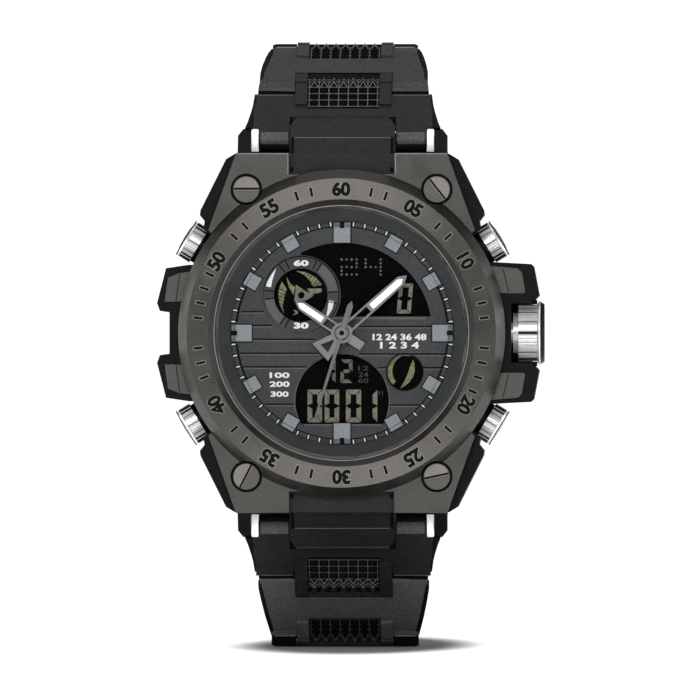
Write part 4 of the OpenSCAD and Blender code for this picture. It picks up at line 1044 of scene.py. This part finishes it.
PITCH = [9, 13, 15, 15, 15]
UPPER = [39, 66, 94, 120, 150, 181.04]
LOWER = [39, 52, 89, 117, 148, 178.96]
LUG_PIN = (28.0, 6.0)
LINK_HALF = [14.1, 12.7, 10.2, 10.2, 10.2, 10.2]
KNUCKLE = 1.65
END_CUT = 2.35
PAD_TOP = 2.0
PAD_FLOOR = 1.1
PAD_BACK = 3.8
PAD_REACH = 1.4
PAD_HALF = 7.0
PAD_LONGER = {1: 2.0, -1: 2.6}
FINGER_SLOT = 7.07
WINDOW_HALF = 5.26
WINDOW_FLOOR = 1.25
CUT_TOP = 3.2
CUT_SPARE = 0.6
STUD_COLUMNS = 7
STUD_PITCH = 1.414
STUD_TOP = 1.88
STUD_PEAK = 0.60
STUD_HALF = 0.64
STUD_ROWS = (0.10, 1.30, 2.50, 3.70, 4.45, 5.15)
RIDGE_WIDTH = 0.13
LINE_HALF = 0.07
Link = namedtuple("Link", "node k side pitch lean slope matrix body")


def link_matrix(slopes, k, side):
    """Frame of link k in the watch's frame: y along the link from its first pin, z outward."""
    y, z = LUG_PIN
    for i in range(k):
        y += PITCH[i] * math.cos(math.radians(slopes[i]))
        z -= PITCH[i] * math.sin(math.radians(slopes[i]))
    flip = Matrix.Diagonal((1, side, 1, 1))
    return flip @ Matrix.Translation((0, y, z)) @ Matrix.Rotation(-math.radians(slopes[k]), 4, "X")


def link_piece(link, name, bm, finish, crease=35):
    """Piece drawn in a link's own frame."""
    bm.transform(link.matrix)
    return piece(f"{link.node}_{name}", bm, finish, link.body, crease)


def half_at(link, y):
    """Half width of a link's body at y along it."""
    return LINK_HALF[link.k] + (LINK_HALF[link.k + 1] - LINK_HALF[link.k]) * y / link.pitch


def pad_point(link, s, z):
    """Point on a pad's centre line, s past its near end, at a height above its pin's axis."""
    u = s - PAD_BACK
    if u < 0:
        return (link.pitch + u, z)
    c, n = math.cos(link.lean), math.sin(link.lean)
    return (link.pitch + u * c + z * n, -u * n + z * c)


def add_loft(bm, rings):
    """Closed solid through rings of points, its two ends filled."""
    rows = [[bm.verts.new(point) for point in ring] for ring in rings]
    for near, far in zip(rows, rows[1:]):
        for i in range(len(near)):
            j = (i + 1) % len(near)
            bm.faces.new((near[i], near[j], far[j], far[i]))
    bm.faces.new(rows[0])
    bm.faces.new(list(reversed(rows[-1])))


def window_cutter(link):
    """Solid that cuts the sunk window along a pad."""
    far = PAD_BACK + PAD_REACH + CUT_SPARE
    bend = math.tan(link.lean / 2)
    profile = [pad_point(link, -CUT_SPARE, WINDOW_FLOOR), (link.pitch + WINDOW_FLOOR * bend, WINDOW_FLOOR),
               pad_point(link, far, WINDOW_FLOOR), pad_point(link, far, CUT_TOP),
               (link.pitch + CUT_TOP * bend, CUT_TOP), pad_point(link, -CUT_SPARE, CUT_TOP)]
    bm = bmesh.new()
    add_loft(bm, [[(x, y, z) for y, z in profile] for x in (-WINDOW_HALF, WINDOW_HALF)])
    bm.transform(TO_ROW @ link.matrix)
    bmesh.ops.recalc_face_normals(bm, faces=bm.faces)
    mesh = bpy.data.meshes.new("cutter")
    bm.to_mesh(mesh)
    bm.free()
    return new_object("cutter", mesh)


def add_sides(bm, base, apex):
    """Four faces from a square's corners to an apex."""
    corners = [bm.verts.new(point) for point in base]
    top = bm.verts.new(apex)
    for i in range(4):
        bm.faces.new((corners[i], corners[(i + 1) % 4], top))
    return corners


def add_studs(bm, link):
    """Columns of small pyramids in a pad's window."""
    for s0, s1 in zip(STUD_ROWS, STUD_ROWS[1:]):
        for col in range(STUD_COLUMNS):
            x0 = (col - STUD_COLUMNS / 2) * STUD_PITCH
            base = []
            for x, s in ((0, 0), (1, 0), (1, 1), (0, 1)):
                y, z = pad_point(link, s0 + (0.06 + 0.88 * s) * (s1 - s0), WINDOW_FLOOR)
                base.append((x0 + (0.05 + 0.90 * x) * STUD_PITCH, y, z))
            peak = pad_point(link, s0 + STUD_PEAK * (s1 - s0), STUD_TOP)
            bm.faces.new(add_sides(bm, base, (x0 + STUD_PITCH / 2, *peak)))


def add_ridges(bm, link):
    """Painted highlights on the near ridges of the pyramids beyond the pad's bend."""
    for s0, s1 in zip(STUD_ROWS[3:], STUD_ROWS[4:]):
        high = pad_point(link, s0 + STUD_PEAK * (s1 - s0), STUD_TOP + 0.02)
        low = pad_point(link, s0 + 0.06 * (s1 - s0), WINDOW_FLOOR + 0.04)
        for col in range(STUD_COLUMNS):
            mid = (col - 3) * STUD_PITCH
            for side in (-1, 1):
                foot = mid + side * 0.45 * STUD_PITCH
                inward = side * RIDGE_WIDTH
                corners = [(mid, *high), (mid - inward, *high), (foot - inward, *low), (foot, *low)]
                bm.faces.new([bm.verts.new(point) for point in corners])


def add_stud_lines(bm, link):
    """Painted highlights as lines along the valleys between the pyramids."""
    z = WINDOW_FLOOR + 0.10
    along = [pad_point(link, s, z) for s in (0.0, PAD_BACK, PAD_BACK + PAD_REACH)]
    for col in range(STUD_COLUMNS + 1):
        x = (col - STUD_COLUMNS / 2) * STUD_PITCH
        add_strip(bm, along, x - LINE_HALF, x + LINE_HALF)
    for s in STUD_ROWS:
        ends = [pad_point(link, s - LINE_HALF, z), pad_point(link, s + LINE_HALF, z)]
        add_strip(bm, ends, -WINDOW_HALF, WINDOW_HALF)


def pad_studs(link):
    studs, lines = sketches(2)
    add_studs(studs, link)
    add_stud_lines(lines, link)
    add_ridges(lines, link)
    # The pyramids in darker resin, painted shade; the lines on them, painted highlights
    link_piece(link, "studs", studs, "resin_shade", crease=10)
    link_piece(link, "stud_lines", lines, "resin_edge_highlight", crease=10)


def link_lines(link):
    """Painted highlight along a link's far edge."""
    y = link.pitch - math.sqrt(END_CUT ** 2 - KNUCKLE ** 2) - 0.16
    half = half_at(link, y) - 0.35
    bm = bmesh.new()
    for x0, x1 in ((-half, -7.3), (7.3, half)):
        add_plate(bm, [box_loop(x0, x1, y - 0.07, y + 0.05)], KNUCKLE - 0.03, KNUCKLE + PRINT)
    link_piece(link, "edge", bm, "resin_edge_highlight")


def gap_shade_faces(link):
    """Test for a link's faces that lie in the gaps beside its neighbours, which get painted shade."""
    reach = 0.2 if link.side > 0 else 0.8
    inner = link.k > 0
    lean_y, lean_z = math.cos(math.radians(link.slope)), math.sin(math.radians(link.slope))

    def wanted(c, n):
        barrel = inner and math.hypot(c.y, c.z) < KNUCKLE + 0.08 and c.y * lean_y + c.z * lean_z < reach
        end = abs(math.hypot(c.y - link.pitch, c.z) - END_CUT) < 0.1 and abs(c.x) > 6.9
        ledge = inner and abs(c.x) < 7.1 and c.z < 0.45 and c.y < 5 and n.z > 0.5
        flank = abs(n.x) > 0.3 and abs(c.x) > 7.2
        return barrel or end or ledge or flank
    return wanted


def window_floor_shade(link):
    """Test for the floor of a pad's window, which gets painted shade."""
    start = link.pitch - PAD_BACK - 0.7

    def wanted(c, n):
        past = c.y - link.pitch
        height = c.z if past < 0 else past * math.sin(link.lean) + c.z * math.cos(link.lean)
        return abs(c.x) < WINDOW_HALF + 0.02 and c.y > start and abs(height - WINDOW_FLOOR) < 0.14
    return wanted


def clearance_shade(link):
    """Dark discs on the pin, painted shade that fills the clearance between a link's finger and the next
    link's barrels.
    """
    bm = bmesh.new()
    disc = circle_loop(1.6, (link.pitch, 0), 32)
    for x in (-7.09, 7.01):
        add_loft(bm, [[(x + step, y, z) for y, z in disc] for step in (0, 0.08)])
    link_piece(link, "clearance_shade", bm, "resin_shade")


# Lighter resin for the second links' lit faces, painted light
LINK_LIT_TONE = {1: "resin_lit", -1: "resin_lit_bright"}
# Side profiles of the hoods, (y, z) from the far pin
HOOD = {
    1: [(-1.6, 1.6), (-0.7, 1.85), (-0.54, 1.87), (-0.2, 2.08), (0.25, 2.03), (0.25, 1.69)],
    -1: [(-1.6, 1.6), (-0.55, 1.85), (-0.39, 1.87), (1.2, 2.25), (1.8, 2.12), (1.9, 1.8), (1.2, 1.69)],
}
FLANK_END = {1: 0.4, -1: 0.55}
# Along the link, rise over its side and width of the flank
FLANK_ROOT = [(1.0, 0.26, 1.1), (2.1, 0.07, 0.9), (4.0, -0.1, 0.35), (5.2, -0.15, 0.35), (6.8, -0.15, 0.35)]
FLANKS = {
    (0, 1): FLANK_ROOT,
    (0, -1): FLANK_ROOT,
    (1, 1): [(1.1, -0.25, 0.5), (3.5, 0.18, 0.6), (6.0, 0.46, 0.65), (9.0, 0.62, 0.65), (11.0, 0.62, 0.6),
             (12.3, 0.45, 0.5)],
    (1, -1): [(0.3, -0.2, 0.4), (1.5, 0.02, 0.6), (4.0, 0.22, 0.65), (8.0, 0.45, 0.65), (12.6, 0.55, 0.65)],
}


def link_hood(link):
    """Hood of the second link over the next link's barrels, in darker resin as painted shade and its near
    part in lighter resin as painted light, with a painted highlight along its foot.
    """
    hood, line = sketches(2)
    profile = HOOD[link.side]
    end = profile[-2][0]
    for s in (-1, 1):
        outer = s * (half_at(link, link.pitch) + FLANK_END[link.side])
        stations = [(s * FINGER_SLOT, 0.0), (outer - s * 0.45, 0.0), (outer, 0.5)]
        add_loft(hood, [[(x, link.pitch + min(y, end - cut), z) for y, z in profile] for x, cut in stations])
        foot = [(link.pitch + y, z + PRINT) for y, z in profile[1:3]]
        add_strip(line, foot, s * 7.2, outer - s * 0.5)
    skin = link_piece(link, "hood", hood, "resin_side_shade", crease=20)
    tinted(skin, LINK_LIT_TONE[link.side], lambda c, n: c.y < link.pitch + profile[1][0], link.matrix)
    link_piece(link, "hood_line", line, "resin_rim_highlight")


LIP_START = 6.5
LIP_END = 8.0
LIP_INNER = 7.25
LIP_TOP = KNUCKLE + 0.06


def lower_lip(link):
    """Thin lip at the far end of the first lower link, with a painted highlight along its edge."""
    lip, line = sketches(2)
    outer = half_at(link, LIP_END) - 0.15
    for s in (-1, 1):
        add_plate(lip, [box_loop(s * LIP_INNER, s * outer, LIP_START, LIP_END)], KNUCKLE - 0.1, LIP_TOP, 0.02)
        ends = sorted((s * (LIP_INNER + 0.15), s * (outer - 0.3)))
        add_print(line, [box_loop(*ends, LIP_END - 0.14, LIP_END - 0.02)], LIP_TOP)
    link_piece(link, "lip", lip, "resin")
    link_piece(link, "lip_line", line, "resin_edge_highlight")


def add_block(bm, link, x0, x1, u0, u1, z0, z1):
    """Block on a pad between x0 and x1, from u0 to u1 past its pin, and from z0 to z1 high."""
    profile = [pad_point(link, PAD_BACK + u, z) for u, z in ((u0, z0), (u1, z0), (u1, z1), (u0, z1))]
    add_loft(bm, [[(x, y, z) for y, z in profile] for x in (x0, x1)])


def pad_extension(link):
    """Rails, floor and one more row of pyramids that carry the first pad's finger on: the floor in near black
    and the pyramids in darker resin, both painted shade.
    """
    rails, bottom, studs = sketches(3)
    u0, u1 = PAD_REACH - 0.05, PAD_LONGER[link.side]
    for s in (-1, 1):
        ends = sorted((s * WINDOW_HALF, s * PAD_HALF))
        add_block(rails, link, *ends, u0 - 0.25, u1, PAD_FLOOR, PAD_TOP + 0.005)
    add_block(bottom, link, -WINDOW_HALF, WINDOW_HALF, u0, u1, PAD_FLOOR, WINDOW_FLOOR)
    near, far = [pad_point(link, PAD_BACK + u, WINDOW_FLOOR) for u in (u0 + 0.05, u1 - 0.05)]
    peak = pad_point(link, PAD_BACK + (u0 + u1) / 2, STUD_TOP)
    for col in range(STUD_COLUMNS):
        mid = (col - 3) * STUD_PITCH
        left, right = mid - STUD_HALF, mid + STUD_HALF
        add_sides(studs, [(left, *near), (right, *near), (right, *far), (left, *far)], (mid, *peak))
    link_piece(link, "pad_rails", rails, "resin")
    link_piece(link, "pad_floor", bottom, "ink")
    link_piece(link, "pad_studs", studs, "resin_side_shade", crease=10)


def pad_end(link):
    """Wall at the far end of the second link's window, and on the lower link the edge beyond it, both in
    darker resin as painted shade.
    """
    bm = bmesh.new()
    add_block(bm, link, -WINDOW_HALF, WINDOW_HALF, PAD_REACH - 0.15, PAD_REACH - 0.02, 1.0, 1.72)
    if link.side < 0:
        add_block(bm, link, -FINGER_SLOT, FINGER_SLOT, PAD_REACH + 0.02, PAD_REACH + 0.85, 1.45, 2.15)
    link_piece(link, "pad_end", bm, "resin_side_shade")


def link_flanks(link):
    """Rounded flanks along both sides of a link near the case, in darker resin as painted shade."""
    bm = bmesh.new()
    stations = FLANKS[link.k, link.side]
    outer = [(half_at(link, y) + rise, y) for y, rise, width in stations]
    inner = [(half_at(link, y) + rise - width, y) for y, rise, width in reversed(stations)]
    for s in (-1, 1):
        add_plate(bm, [[(s * x, y) for x, y in outer + inner]], 0.9, KNUCKLE + 0.03, 0.05)
    link_piece(link, "flanks", bm, "resin_side_shade")


BARREL_ARC = range(-20, 53, 6)
BARREL_X = (7.9, 11.9)


def barrel_highlight(half, side):
    """Painted highlight along the front of the first link's barrels, in a lighter grained resin."""
    bm = bmesh.new()
    flip = Matrix.Diagonal((1, side, 1, 1))
    r = KNUCKLE + 0.01
    arc = [(LUG_PIN[0] + y, LUG_PIN[1] + z) for y, z in (polar(r, a) for a in BARREL_ARC)]
    for s in (-1, 1):
        add_strip(bm, arc, s * BARREL_X[0], s * BARREL_X[1], flip)
    piece(half + "_barrel_highlight", bm, "resin_lit_bright", body_of[half + "_link_1"])


def strap_half(half, slopes, side):
    for k in range(5):
        node = f"{half}_link_{k + 1}"
        lean = math.radians(slopes[k + 1] - slopes[k]) / 2
        link = Link(node, k, side, PITCH[k], lean, slopes[k], link_matrix(slopes, k, side), body_of[node])
        skin = dressed(node, 0.28, "resin", [window_cutter(link)])
        # The second link's outward faces get lighter resin, painted light; faces in the gaps and the windows'
        # floors get painted shade
        if k == 1:
            tinted(skin, LINK_LIT_TONE[side], lambda c, n: n.z > -0.3, link.matrix)
        tinted(skin, "resin_shade", gap_shade_faces(link), link.matrix)
        tinted(skin, "ink", window_floor_shade(link), link.matrix)
        pad_studs(link)
        clearance_shade(link)
        if k == 0:
            pad_extension(link)
        if k < 2:
            link_flanks(link)
        if k == 1:
            link_hood(link)
            pad_end(link)
        elif k == 0 and side < 0:
            lower_lip(link)
        else:
            link_lines(link)


def strap():
    strap_half("upper", UPPER, 1)
    strap_half("lower", LOWER, -1)
    barrel_highlight("upper", 1)
    barrel_highlight("lower", -1)
    dressed("clasp_blade", 0.1, "brushed")
    dressed("clasp_tongue", 0.1, "brushed")
    dressed("clasp_cover", 0.25, "brushed")


# What stays from the CAD model

STAYING = {
    "glass": "crystal", "rubber": "crystal_seal case_back_seal", "chapter": "chapter_ring",
    "marker": "hour_markers", "dial": "dial subdial_ring", "lcd": "display_panel", "frame": "movement_frame",
    "board": "circuit_board", "brass": "alarm_disc motor_coil motion_wheel third_wheel",
    "brushed": "coin_cell crown_tube pusher_tubes", "polished": "pusher_springs clasp_pin",
    "steel_dark_and_shade": "lug_pins", "chrome": "crown_sleeve",
}


def paint_nodes():
    for finish, names in STAYING.items():
        for node in names.split():
            painted(node, finish)
    for k in range(1, 6):
        painted(f"upper_pin_{k}", "brushed")
        painted(f"lower_pin_{k}", "brushed")


# Stage, lights and camera

FLOOR_Z = -0.04585
FLOOR_HALF = 0.75
SHADOW_X = 0.0012
SHADOW_Y = 0.030
SHADOW_WIDE = 0.0220
SHADOW_DEEP = 0.124
SHADOW_TONE = 0.07
CAMERA_FAR = 3.0
CAMERA_TURN = math.radians(1.3)
SENSOR = 36
PHOTO = 700
FRAME_CENTRE = Vector(((PHOTO / 2 - DIAL_PX[0]) * PX * MM, -0.0115, (DIAL_PX[1] - PHOTO / 2) * PX * MM))


def floor_finish():
    """White, with a painted soft shadow where the strap stands."""
    mat, tree, shader = shader_of("floor_white", (0.96, 0.96, 0.96), 0.8)
    coords = add_node(tree, "TexCoord")
    mapping = add_node(tree, "Mapping", Location=(-SHADOW_X / SHADOW_WIDE, -SHADOW_Y / SHADOW_DEEP, 0),
                       Scale=(1 / SHADOW_WIDE, 1 / SHADOW_DEEP, 1))
    blob = add_node(tree, "TexGradient")
    blob.gradient_type = "SPHERICAL"
    ramp = ramp_of(tree, blob, (0, (1, 1, 1)), (0.45, (SHADOW_TONE, SHADOW_TONE, SHADOW_TONE)))
    ramp.color_ramp.interpolation = "EASE"
    set_values(shader, Emission_Strength=0.7)
    wire(tree, coords, "Object", mapping, "Vector")
    wire(tree, mapping, "Vector", blob, "Vector")
    wire(tree, ramp, "Color", shader, "Base Color")
    wire(tree, ramp, "Color", shader, "Emission Color")
    let_through(tree, shader, ramp)
    return mat


def let_through(tree, shader, ramp):
    """Where the floor is plain white the camera sees what is behind, so it hides no strap below it."""
    path = add_node(tree, "LightPath")
    white = add_node(tree, "MapRange", From_Min=0.93)
    both = add_node(tree, "Math")
    clear = add_node(tree, "BsdfTransparent")
    mix = add_node(tree, "MixShader")
    both.operation = "MULTIPLY"
    wire(tree, ramp, "Color", white, "Value")
    wire(tree, white, "Result", both, 0)
    wire(tree, path, "Is Camera Ray", both, 1)
    wire(tree, both, "Value", mix, "Fac")
    wire(tree, shader, "BSDF", mix, 1)
    wire(tree, clear, "BSDF", mix, 2)
    wire(tree, mix, "Shader", tree.nodes["Material Output"], "Surface")


def floor():
    bm = bmesh.new()
    bmesh.ops.create_grid(bm, x_segments=8, y_segments=8, size=FLOOR_HALF)
    mesh = bpy.data.meshes.new("floor")
    bm.to_mesh(mesh)
    bm.free()
    obj = new_object("floor", mesh)
    obj.location = (0, 0, FLOOR_Z)
    obj.data.materials.append(floor_finish())


def area_light(name, place, power, size, size_y):
    """Rectangular light that faces the middle of the frame."""
    light = bpy.data.lights.new(name, "AREA")
    light.shape = "RECTANGLE"
    light.size = size
    light.size_y = size_y
    light.energy = power
    obj = new_object(name, light)
    obj.location = place
    obj.rotation_euler = (Vector() - Vector(place)).to_track_quat("-Z", "Y").to_euler()


def world():
    """Grey light from all sides, behind which the camera sees plain white."""
    sky = bpy.data.worlds.new("studio")
    sky.use_nodes = True
    bpy.context.scene.world = sky
    tree = sky.node_tree
    back = set_values(tree.nodes["Background"], Color=(0.55, 0.56, 0.58, 1), Strength=0.32)
    seen = add_node(tree, "Background", Color=(1, 1, 1, 1), Strength=1.1)
    path = add_node(tree, "LightPath")
    mix = add_node(tree, "MixShader")
    wire(tree, path, "Is Camera Ray", mix, "Fac")
    wire(tree, back, "Background", mix, 1)
    wire(tree, seen, "Background", mix, 2)
    wire(tree, mix, "Shader", tree.nodes["World Output"], "Surface")


def lights():
    area_light("top", (0, -0.1, 1.1), 7, 1.4, 1.4)
    area_light("key", (-0.12, -1.4, 0.56), 10.3, 0.8, 0.4)
    area_light("fill", (0.6, -1.2, -0.3), 1.5, 0.6, 0.6)
    area_light("left", (-0.95, 0.05, 0.05), 8.5, 1.3, 0.8)
    area_light("right", (0.95, 0.05, 0.05), 8.5, 1.3, 0.8)


def camera():
    cam = bpy.data.cameras.new("camera")
    cam.sensor_width = SENSOR
    cam.lens = SENSOR * CAMERA_FAR / (PHOTO * PX * MM)
    cam.clip_start = 0.05
    cam.clip_end = 20
    obj = new_object("camera", cam)
    away = Vector((math.sin(CAMERA_TURN), -math.cos(CAMERA_TURN), 0))
    obj.location = FRAME_CENTRE + CAMERA_FAR * away
    obj.rotation_euler = (math.radians(90), 0, CAMERA_TURN)
    bpy.context.scene.camera = obj
    bpy.context.scene.view_settings.view_transform = "Standard"


camera()
world()
lights()
floor()
paint_nodes()
case_skins()
pushers()
crown()
screw_faces()
case_lines()
block_details()
bezel_numerals()
bezel_ticks()
minute_track()
chapter_lines()
marker_details()
marker_shadows()
dial_grooves()
dial_edges()
dial_print()
screen()
displays()
port_marks()
subdial_fan()
subdial_marks()
hands()
strap()
